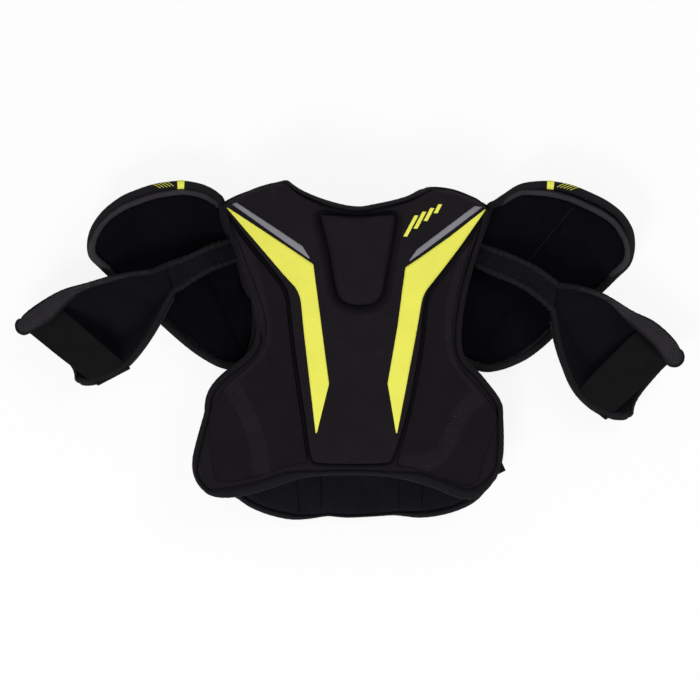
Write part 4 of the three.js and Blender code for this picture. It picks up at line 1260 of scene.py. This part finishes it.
def spindles(name, starts, ends, thick):
    """Many small threads in one mesh: six sided spindles from the starts to the ends."""
    starts, ends = np.asarray(starts, float), np.asarray(ends, float)
    axis = ends - starts
    axis /= np.linalg.norm(axis, axis=1)[:, None]
    side = np.cross(axis, [0.13, 0.21, 1.0])
    side /= np.linalg.norm(side, axis=1)[:, None]
    other = np.cross(axis, side)
    angle = np.linspace(0, TURN, 6, endpoint=False)
    circle = side[:, None] * np.cos(angle)[:, None] + other[:, None] * np.sin(angle)[:, None]
    rings = []
    for share, wide in ((0.0, 0.45), (0.18, 1.0), (0.82, 1.0), (1.0, 0.45)):
        middle = starts + (ends - starts) * share
        rings.append(middle[:, None] + circle * thick * wide)
    points = np.stack(rings, axis=1)
    count = len(starts)
    quads = grid_faces(4, 6, wrap=True)
    base = np.arange(count)[:, None, None] * 24
    caps = np.array([[5, 4, 3, 2, 1, 0], [18, 19, 20, 21, 22, 23]])
    flat = points.reshape(-1, 3)
    faces = [(quads + base).reshape(-1, 4), (caps + base).reshape(-1, 6)]
    return put_mesh(name, flat, faces, flat[:, :2])


def stitched(name, path, cloth, body, pitch=3.6, length=2.3, thick=0.5):
    """A row of stitches that lie along a path."""
    path = np.asarray(path, float)
    gone = lengths_along(path)
    at = np.arange(1, int(gone[-1] / pitch)) * pitch
    ends = [points_at(at + shift, gone, path) for shift in (0, length)]
    dress(spindles(name, *ends, thick), cloth, body, "liner")


def lying_on(surface, line, near=2.6):
    """A line in plan, lifted onto a surface's points: to the highest point near each place."""
    away = np.linalg.norm(surface[None, :, :2] - line[:, None, :2], axis=2)
    level = np.where(away < near, surface[None, :, 2], -1e3).max(axis=1)
    level = np.convolve(np.pad(level, 3, mode="edge"), np.ones(7) / 7, mode="valid")
    return np.column_stack([line[:, :2], level + 0.1])


def bearing(points, centre):
    """Direction from a centre to points in plan, from 0 to 360 degrees."""
    return np.degrees(np.arctan2(points[:, 1] - centre[1], points[:, 0] - centre[0])) % 360


def thread_of(name, colour, roughness, shine):
    """Sewing thread: a fine smooth cloth without lint."""
    return cloth_of(name, colour, roughness, shine, pitch=0.5, depth=0.05, lint=0.0)


thread = thread_of("thread", (0.0060, 0.0056, 0.0074), 0.6, 0.25)
# The near-black thread is darker than any cloth of the pads: the thread's own black together
# with painted shade of the stitch holes.
thread_with_painted_shade = thread_of("thread_with_painted_shade", (0.0006, 0.0006, 0.0009), 0.8, 0.05)

for side, mirror, rim_points, centre, tab_x, insets, arc, sewn_arc in CAPS:
    body = side + "_cap"
    centre = np.array(centre)
    hinge, outward = np.array([mirror * 101.0, 20, 26]), np.array([mirror * 0.98, -0.18, 0])
    sewn_on = blended("back", body, hinge + 2 * outward, hinge + 40 * outward)
    rim = smooth_line(rim_points, 360, closed=True)
    bowl = bowl_of(rim, centre)

    def ribbed(p):
        """The shell's underside: moulded ribs run across it, one every 38 mm."""
        return bowl(p) - SHELL + 0.9 * np.cos(TURN * (p[..., 0] + 0.4 * p[..., 1]) / 38) ** 8

    shell = cushion(
        side + "_cap_bowl",
        moved_in(rim, CAP_SHELL_INSET),
        tuple(centre),
        lambda p: bowl(p) + 0.4 * crumple(p, 80, 21),
        ribbed,
        1.5,
        rings=60,
    )
    dress(shell, cap_shell_skin, sewn_on, "shell", side + "_cap_shell")
    edge = moved_in(rim, CAP_RIM[0])
    rim_path = np.column_stack([edge[:, :2], bowl(edge) + 1.6])
    rim_roll = roll(side + "_cap_rim", rim_path, *CAP_RIM, closed=True, pucker=0.02, seed=31)
    dress(rim_roll, rim_cloth, sewn_on, "piping")

    inset = np.interp(bearing(rim, centre), *np.array(insets, float).T)
    inner = smooth_line(moved_in(rim, inset)[::6], 360, closed=True)
    in_arc = (bearing(inner, centre) - arc[0]) % 360 < arc[1] - arc[0]
    top_run = run_of(inner, in_arc)
    gone = lengths_along(top_run)
    from_end = ramp(np.minimum(gone, gone[-1] - gone), 0, DIVE_LENGTH)
    level = bowl(top_run) + BINDING_RISE - BINDING_DIVE * (1 - from_end) ** 2
    path = smooth_line(np.column_stack([top_run[:, :2], level])[::3], 240)
    binding = roll(side + "_cap_binding", path, *CAP_BINDING, seed=41)
    dress(binding, cap_grey, sewn_on, "piping", side + "_cap_piping")

    seam = moved_in(inner, 5.5)[:, :2]

    def quilted(p):
        """How deep the stitches pull the lining in: bell shaped grooves along the seams."""
        deep = EDGE_GROOVE[0] * np.exp(-((gap_to(p, seam, True) / EDGE_GROOVE[1]) ** 2))
        for line in QUILTING[side]:
            gap = gap_to(p, smooth_line(line, 40))
            deep = deep + QUILT_GROOVE[0] * np.exp(-((gap / QUILT_GROOVE[1]) ** 2))
        return deep

    def lining_face(p):
        """The lining's face before it is quilted: the bowl's, with soft folds."""
        return bowl(p) + LINING_LEVELS[0] + 1.1 * crumple(p, 60, 17)

    lining = cushion(
        side + "_cap_padding",
        moved_in(inner, 0.5),
        tuple(centre),
        lining_face,
        lambda p: bowl(p) + LINING_LEVELS[1],
        4.0,
        rings=60,
    )
    puffed(lining, 3.0, 1.2)
    co = points_of(lining.data) * 1000.0
    co[:, 2] -= quilted(co) * ramp(co[:, 2] - bowl(co), 2.6, 5.0)
    move_points(lining.data, co / 1000)
    dress(lining, cap_lining, sewn_on, "liner", side + "_cap_liner", fill=0.6)
    # Stitches take the near-black thread with its painted shade of the stitch holes, except
    # quilting rows whose mean place lies beyond THREAD_LIGHT_ABOVE towards the neck, which take
    # the paler thread.
    lean = bearing(seam, centre)
    sewn = run_of(seam, (lean > sewn_arc[0]) & (lean < sewn_arc[1]))
    stitched(side + "_cap_stitches", lying_on(co, sewn), thread_with_painted_shade, sewn_on)
    for k, line in enumerate(QUILTING[side]):
        line = smooth_line(line, 60)
        colour = thread if line[:, 1].mean() > THREAD_LIGHT_ABOVE else thread_with_painted_shade
        stitched(f"{side}_cap_quilting_{k + 1}", lying_on(co, line), colour, sewn_on)

    gone = lengths_along(rim_path)
    high = rim_path[:, 1] > 120
    middle = gone[np.where(high, np.abs(rim_path[:, 0] - tab_x), 1e3).argmin()]
    piece = points_at(middle + np.linspace(-TAPE_HALF, TAPE_HALF, 12), gone, rim_path)
    tab = roll(
        side + "_cap_tape", piece, *CAP_TAPE, pucker=0.0, seed=3, crease=0.0, blunt=True
    )
    dress(tab, yellow_tape, body, "yellow", side + "_cap_tab")
    onward = rim_path[np.abs(gone - middle - 9).argmin(), 0] - tab_x
    way_out = np.sign(onward * mirror)
    lines = []
    for k in range(HASHES):
        run = HASH_START + HASH_STEP * k + np.linspace(0, HASH_LENGTH, len(HASH_TURNS))
        at = points_at(middle + way_out * run, gone, rim_path)
        outwards = at[:, :2] - centre
        outwards /= np.linalg.norm(outwards, axis=1)[:, None]
        aside, lift = 4.5 * np.cos(HASH_TURNS), 4.9 * np.sin(HASH_TURNS)
        lines.append(at + np.column_stack([outwards * aside[:, None], lift]))
    lines = np.array(lines)
    starts, ends = lines[:, :-1].reshape(-1, 3), lines[:, 1:].reshape(-1, 3)
    dress(spindles(side + "_cap_hashes", starts, ends, 0.33), yellow_tape, body, "yellow")

# Arm guards: troughs of foam that hang from the caps by a padded link. Each has an outer
# cover of mesh, bound rims, a flap over the outer end and a wide elastic strap. The lists
# are the trough's two rims, the flap's inner edge, the end's cut and the flap's tip, the
# link's two edges, and the strap's two edges.
ARMS = (
    (
        "left",
        -1,
        [
            (-203.9, 95.7, 49), (-224.8, 87.4, 50), (-257.8, 82.4, 50), (-294.9, 72, 50),
            (-326.1, 62, 48), (-358.1, 41.2, 47), (-370.8, 25.9, 46),
        ],
        [
            (-194, 62.7, 50), (-201.7, 49.4, 51), (-213.7, 26.4, 51), (-228.6, 2.6, 50),
            (-245.7, -17.6, 49), (-266.7, -31.1, 48), (-299.8, -41.3, 46),
        ],
        [
            (-203.8, 94.5, 52), (-223.5, 85.6, 54), (-253, 79, 56), (-294.6, 65.8, 57),
            (-314.4, 49.9, 57), (-332.1, 32.9, 55), (-354.9, 17, 52),
        ],
        0.115,
        ((-360.4, 25.5), (-0.635, -0.773), 8.5),
        [
            (-124, 125.7, 38), (-142.7, 119.7, 39), (-160.6, 113.1, 42), (-184.6, 101.8, 46),
            (-205, 95.1, 49),
        ],
        [
            (-124, 97.6, 38), (-133.3, 93.8, 39), (-155.8, 85.7, 42), (-176.6, 72.7, 46),
            (-194.6, 61.6, 50),
        ],
        [
            (-330.8, 53.9, 44), (-318.2, 43.4, 50), (-283, 12.6, 51), (-247.4, -17.9, 49),
            (-247.5, -19.3, 38), (-256, -17.1, 26),
        ],
        [
            (-366, 26.4, 44), (-352.4, 15.4, 49), (-317, -12.9, 51), (-283.7, -37.6, 48),
            (-283.7, -38.6, 38), (-290.8, -36.5, 26),
        ],
    ),
    (
        "right",
        1,
        [
            (227, 73.1, 49), (249, 69.8, 50), (275.3, 61.6, 50), (308.4, 41.8, 49),
            (333.8, 29.1, 48), (354.8, 9.9, 47), (365.3, -11, 46),
        ],
        [
            (219.3, 40.7, 50), (222, 20.9, 51), (224.7, 3.3, 51), (231.4, -18.7, 50),
            (244.6, -47.3, 49), (267.8, -68.2, 48), (303.1, -79.5, 47),
        ],
        [
            (228, 71.4, 52), (248.7, 67, 54), (279.3, 53.8, 56), (304.5, 29.6, 57),
            (320.9, 15.4, 57), (334.3, 2.2, 55), (349.9, -11, 52),
        ],
        0.085,
        ((353.4, -8.7), (0.55, -0.83), 9.7),
        [
            (134, 119.1, 38), (153.8, 111.7, 39), (184.5, 100.2, 42), (209.9, 85.6, 46),
            (227, 73.1, 49),
        ],
        [
            (134, 90.4, 38), (144.1, 85.8, 39), (171.3, 74.3, 42), (198.6, 59.7, 46),
            (219.3, 39.6, 50),
        ],
        [
            (327.5, 33, 44), (313.3, 20.9, 50), (279.7, -11.5, 51), (247.6, -45.6, 49),
            (247.5, -48.8, 38), (255.4, -44.8, 26),
        ],
        [
            (356.1, -6.6, 44), (342.5, -19.2, 49), (312.1, -46.7, 51), (282.6, -74.6, 48),
            (281.1, -76.7, 38), (288.6, -71.3, 26),
        ],
    ),
)
RIM_SIDE = 3.3
END_ROUNDS = (9.0, 16.0)
TROUGH_DEPTH = 0.85 * np.array([5.0, 14, 22, 30, 36, 38, 38])
TROUGH_BEDS = ((0.3, 0.62), (0.74, 1.0))
PAD_THICK = (3.0, 4.4)
COVER_START = 19
COVER_UNDER = 6.2
COVER_THICK = (1.4, 1.2)
FLAP_TIP_Z = 49.5
FLAP_OVER_RIM = 3.4
FLAP_CROWN = 4.0
FLAP_HEM = (2.1, 2.6)
LINK_THICK = (2.4, 3.4)
LINK_HEM = (3.3, 4.2)
BAND_THICK = (1.1, 1.1)
arm_lining = cloth_of(
    "arm_lining", (0.0037, 0.0033, 0.0054), roughness=0.92, shine=0.08, pitch=1.2, lint=0.1
)
link_cloth = cloth_of(
    "link_cloth", (0.0036, 0.0033, 0.0046), roughness=0.9, shine=0.1, pitch=1.2, lint=0.1
)
elastic = cloth_of(
    "elastic",
    (0.0034, 0.0028, 0.0034),
    roughness=0.85,
    shine=0.1,
    pitch=1.9,
    depth=0.2,
    lint=0.05,
    fold=0.2,
)


def holed_mesh(name, colour, hole_tone, band):
    """Spacer mesh with pale air holes, all over or only in a band."""
    return cloth_of(
        name,
        colour,
        roughness=0.8,
        shine=0.16,
        pitch=1.4,
        hole_pitch=2.4,
        hole_tone=hole_tone,
        lint=0.1,
        band=band,
    )


arm_mesh = holed_mesh("arm_mesh", (0.0062, 0.0054, 0.0066), 6.0, band=False)
flap_mesh = holed_mesh("flap_mesh", (0.0066, 0.0058, 0.0070), 9.0, band=True)
link_hem = tape_of("link_hem", (0.0064, 0.0055, 0.0070), lint=0.05)
arm_binding = tape_of("arm_binding", (0.0048, 0.0041, 0.0055), shine=0.13, lint=0.05)


def close_ends(count):
    """Shares from 0 to 1 that lie closer together at both ends: half of one less a cosine."""
    return 0.5 - 0.5 * np.cos(np.linspace(0, np.pi, count))


def loft(guides, along, across):
    """A grid through guide lines of equal station count. Rows go from guide to guide."""
    guides = np.stack([np.asarray(g, float) for g in guides], axis=1)
    lines = catmull(guides, along * (len(guides) - 1))
    return catmull(lines.transpose(1, 0, 2), across * (lines.shape[1] - 1))


def gone_by(grid, axis):
    """Length gone across a grid along one axis, at each of its points."""
    step = np.linalg.norm(np.diff(grid, axis=axis), axis=2)
    start = np.zeros_like(np.take(step, [0], axis=axis))
    return np.cumsum(np.concatenate([start, step], axis=axis), axis=axis)


def normals_of(grid):
    """Normals of a grid that face up on the whole: the cross product of its two slopes."""
    normal = np.cross(np.gradient(grid, axis=0), np.gradient(grid, axis=1))
    normal /= np.linalg.norm(normal, axis=2)[..., None]
    return normal * np.sign(normal[..., 2].mean())


THIN_BORDER = 0.12


def thick_sheet(name, grid, front, back, edge, relief=0.0):
    """A sheet round a middle surface, moved out along its normals. Its borders are rounded:
    near them the thickness is that of a quarter circle, but not less than a thin rest."""
    normal = normals_of(grid)
    down, across = gone_by(grid, 0), gone_by(grid, 1)
    ends = np.minimum(down, down[-1:] - down)
    near = np.minimum(ends, np.minimum(across, across[:, -1:] - across))
    full = 1 - (1 - THIN_BORDER) * quarter(near, edge) / edge
    upper = grid + normal * ((front + relief) * full)[..., None]
    lower = grid - normal * (back * full)[..., None]
    return between(name, upper, lower, np.dstack([across, down]))


def drawn_back(grid, marks, share):
    """Rows of a grid drawn back from their far ends by a share of each: every point moves to
    a smaller mark, between its own row's points."""
    rows = zip(grid, marks, share)
    return np.array([points_at(at * (1 - less), at, row) for row, at, less in rows])


for side, mirror, *rims, cut, flap_tip, link_top, link_low, band_in, band_out in ARMS:
    body = side + "_arm"
    top_rim, low_rim, flap_rim = rims
    across = np.array(low_rim) - np.array(top_rim)
    across /= np.linalg.norm(across[:, :2], axis=1)[:, None]
    across[:, 2] = 0
    top_rim, low_rim = top_rim + RIM_SIDE * across, low_rim - RIM_SIDE * across
    drop = np.column_stack([np.zeros((7, 2)), TROUGH_DEPTH])
    beds = [top_rim + (low_rim - top_rim) * share - drop * deep for share, deep in TROUGH_BEDS]
    u, v = close_ends(90), close_ends(70)
    grid = loft([top_rim, *beds, low_rim], u, v)
    to_rim = gone_by(grid, 0)[:, -1]
    to_rim = np.minimum(to_rim, to_rim[-1] - to_rim)
    rounded = quarter(to_rim, np.where(v < 0.5, *END_ROUNDS)) / gone_by(grid, 1)[:, -1]
    marks = np.broadcast_to(u, grid.shape[:2])
    middle = drawn_back(grid, marks, cut * np.sin(np.pi * v**0.5) + rounded)
    seam = (top_rim[0] + low_rim[0]) / 2
    near_seam = np.exp(-((np.linalg.norm(middle[..., :2] - seam[:2], axis=2) / 34) ** 2))
    folds = 1.3 * crumple(middle, 55, 51) + (0.3 + 1.1 * near_seam) * crumple(middle, 17, 52, 2)
    pad = thick_sheet(side + "_arm_padding", middle, *PAD_THICK, 5.0, folds)
    along = (top_rim[1] + low_rim[1]) / 2 - seam
    along /= np.linalg.norm(along)
    joint = blended(side + "_link", body, seam - 6 * along, seam + 22 * along)
    dress(pad, arm_lining, joint, "liner", side + "_arm_pad", fill=0.5)

    inside = np.s_[3:-3, COVER_START:-3]
    under = (middle - normals_of(middle) * COVER_UNDER)[inside]
    cover = thick_sheet(side + "_arm_cover", under, *COVER_THICK, 3.0, 0.3 * folds[inside])
    dress(cover, arm_mesh, body, "shell", side + "_arm_shell", side + "_loop_patch", fill=0.3)

    starts = [
        rims[0] + 8 * (links[-2] - links[-1]) / np.linalg.norm(links[-2] - links[-1])
        for rims, links in ((middle[0], np.array(link_top)), (middle[-1], np.array(link_low)))
    ]
    rim = [starts[:1], middle[0, ::3], middle[3:-3:3, -1], middle[-1, ::-3], starts[1:]]
    path = smooth_line(np.concatenate(rim), 560) - [0, 0, 0.6]
    bound = roll(side + "_arm_binding", path, RIM_SIDE, 4.0, pucker=0.05, seed=61)
    dress(bound, arm_binding, joint, "piping", side + "_arm_piping")

    tip_at, onward, tip_round = flap_tip
    tip_at, onward = np.append(tip_at, FLAP_TIP_Z), np.append(onward, 0.0)
    aside = mirror * np.cross([0, 0, 1], onward)
    ends = tip_at + tip_round * onward + np.array([[1], [0], [-1]]) * tip_round * aside
    sides = tip_at + np.array([[1], [-1]]) * tip_round * aside
    flap_top = np.vstack([top_rim[1:-1] + [0, 0, FLAP_OVER_RIM], sides[:1], ends[:1]])
    flap_low = np.vstack([np.array(flap_rim)[1:-1], sides[1:], ends[2:]])
    ridge = flap_top + (flap_low - flap_top) * 0.5 + [0, 0, FLAP_CROWN]
    flap_grid = loft([flap_top, ridge, flap_low], close_ends(90), close_ends(30))
    gone = gone_by(flap_grid, 1)
    to_side = tip_round * (1 - np.abs(2 * close_ends(30) - 1))
    flap_grid = drawn_back(flap_grid, gone, quarter(to_side, tip_round) / gone[:, -1])
    folds = 0.5 * crumple(flap_grid, 30, 55)
    flap = thick_sheet(side + "_arm_flap", flap_grid, 2.0, 2.0, 2.5, folds)
    holed = np.tile(ramp(gone_by(flap_grid, 0)[-1], 8, 15), 2 * len(flap_grid))
    mark_band(flap, holed)
    dress(flap, flap_mesh, body, "mesh", fill=0.4)
    fold = np.concatenate([flap_grid[0, -16:-1], flap_grid[:, -1], flap_grid[-1, -2::-1]])
    path = smooth_line(fold[::2], 220)
    hem = roll(side + "_flap_hem", path, *FLAP_HEM, pucker=0.04, seed=65)
    dress(hem, arm_binding, body, "piping")

    link_top, link_low = smooth_line(link_top, 6), smooth_line(link_low, 6)
    crown = (link_top + link_low) / 2 + [0, 0, 0.5]
    link_grid = loft([link_top, crown, link_low], close_ends(90), close_ends(44))
    folds = 0.5 * crumple(link_grid, 30, 56) + 0.9 * crumple(link_grid, 10, 57, 2)
    link = thick_sheet(side + "_link_padding", link_grid, *LINK_THICK, 5.0, folds)
    bend = blended(side + "_cap", side + "_link", link_grid[22, 0], link_grid[22, 26])
    dress(link, link_cloth, bend, "foam", side + "_arm_link", fill=0.5)
    inward = (link_low - link_top) / np.linalg.norm(link_low - link_top, axis=1)[:, None]
    for part, line in (("top", link_top + 2.8 * inward), ("low", link_low - 2.8 * inward)):
        path = smooth_line(line, 130) + [0, 0, 1.2]
        hem = roll(f"{side}_link_{part}_hem", path, *LINK_HEM, pucker=0.16, seed=71)
        dress(hem, link_hem, bend, "piping")

    band_grid = loft([band_in, band_out], close_ends(120), np.linspace(0, 1, 30))
    band = thick_sheet(side + "_arm_band", band_grid, *BAND_THICK, 1.2)
    lifted = blended(body, side + "_arm_strap", band_grid[15, 4], band_grid[15, 20])
    dress(band, elastic, lifted, "elastic", side + "_arm_strap")

# Side straps: elastic webbing sewn inside the chest's sides, with a hook tab at the end.
# They hang down inside the vest and can swing out.
STRAP_AT = 157.6
STRAP_Y = (-96, -134)
STRAP_Z = (50.6, 7.0)
STRAP_BOW = 3.0
HOOK_GAP = 2.3
hook_cloth = cloth_of(
    "hook_cloth",
    (0.0100, 0.0098, 0.0110),
    roughness=0.6,
    shine=0.35,
    pitch=1.0,
    depth=0.35,
    lint=0.6,
)
for side, mirror in (("left", -1), ("right", 1)):
    down, wide = np.meshgrid(np.linspace(0, 1, 40), np.linspace(*STRAP_Y, 24), indexing="ij")
    x = mirror * (STRAP_AT - STRAP_BOW * np.sin(np.pi * down))
    grid = np.dstack([x, wide, STRAP_Z[0] + (STRAP_Z[1] - STRAP_Z[0]) * down])
    strap = thick_sheet(side + "_side_webbing", grid, 1.0, 1.0, 1.0)
    dress(strap, elastic, side + "_side_strap", "elastic", side + "_side_strap")
    hook_grid = grid[20:38, 1:-1] + [mirror * HOOK_GAP, 0, 0]
    hook = thick_sheet(side + "_side_tab", hook_grid, 1.0, 1.0, 1.0)
    dress(hook, hook_cloth, side + "_side_strap", "hook", side + "_side_hook")

# Seams down the back's lining below the hem of the chest: rows of stitches, two on each side
# of the middle, in the near-black thread that holds painted shade of the stitch holes.
LINING_SEAMS = (
    [(-61.9, -133.8), (-60.8, -155.9), (-58.6, -182.5)],
    [(-35.9, -133.8), (-34.8, -155.9), (-35.4, -180.3)],
    [(52, -133.8), (50.9, -155.9), (52, -180.3)],
    [(78, -133.8), (76.9, -155.9), (76.3, -181.4)],
)
for k, line in enumerate(LINING_SEAMS):
    line = smooth_line(line, 40)
    path = np.column_stack([line, back_inner(line) + 0.25])
    name = f"lining_seam_{k + 1}"
    stitched(name, path, thread_with_painted_shade, "back", pitch=4.4, length=2.9, thick=0.6)

# Corner of the right side strap's tab, which sticks out past the chest's edge beside the
# hem: a scrap of the same elastic.
tab_corner = np.array([
    (154.1, -117.4, 58), (163.4, -122.8, 60), (156.3, -139.3, 58), (168.1, -133.3, 60),
])
tab_grid = loft(tab_corner.reshape(2, 2, 3), np.linspace(0, 1, 8), np.linspace(0, 1, 8))
corner = thick_sheet("right_tab_corner", tab_grid, 0.9, 0.9, 0.8)
dress(corner, elastic, "chest", "elastic")

# Stiff plates inside the spine pad and the sternum pad: thin sheets of smooth plastic that
# nothing shows of.
plate_skin = cloth_of(
    "plate_skin", (0.01, 0.01, 0.011), roughness=0.45, shine=0.4, depth=0.05, lint=0.0
)
PLATE_THICK = 1.2
PLATE_INSET = 9.0


def under_sternum(points):
    """The sternum plate's level, just over the bottom of the groove that it lies in."""
    return chest_outer(points) + YOKE_RISE - GROOVE_DEPTH + 1.2


PLATES = (
    ("spine_plate", spine_edge, (0.0, 0.0), "back", lambda p: np.full(p.shape[:-1], 7.4)),
    ("sternum_plate", sternum_edge, STERNUM_CENTRE, "chest", under_sternum),
)
for node, edge, centre, body, level in PLATES:
    outline = smooth_line(moved_in(edge, PLATE_INSET)[::5], 160, closed=True)
    plate = cushion(
        node + "_sheet",
        outline,
        centre,
        level,
        lambda p: level(p) - PLATE_THICK,
        0.5,
        rings=20,
        walls=1,
    )
    dress(plate, plate_skin, body, "plate", node)

size = {"cad": cad_box, "scene": [list(corner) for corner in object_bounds()]}
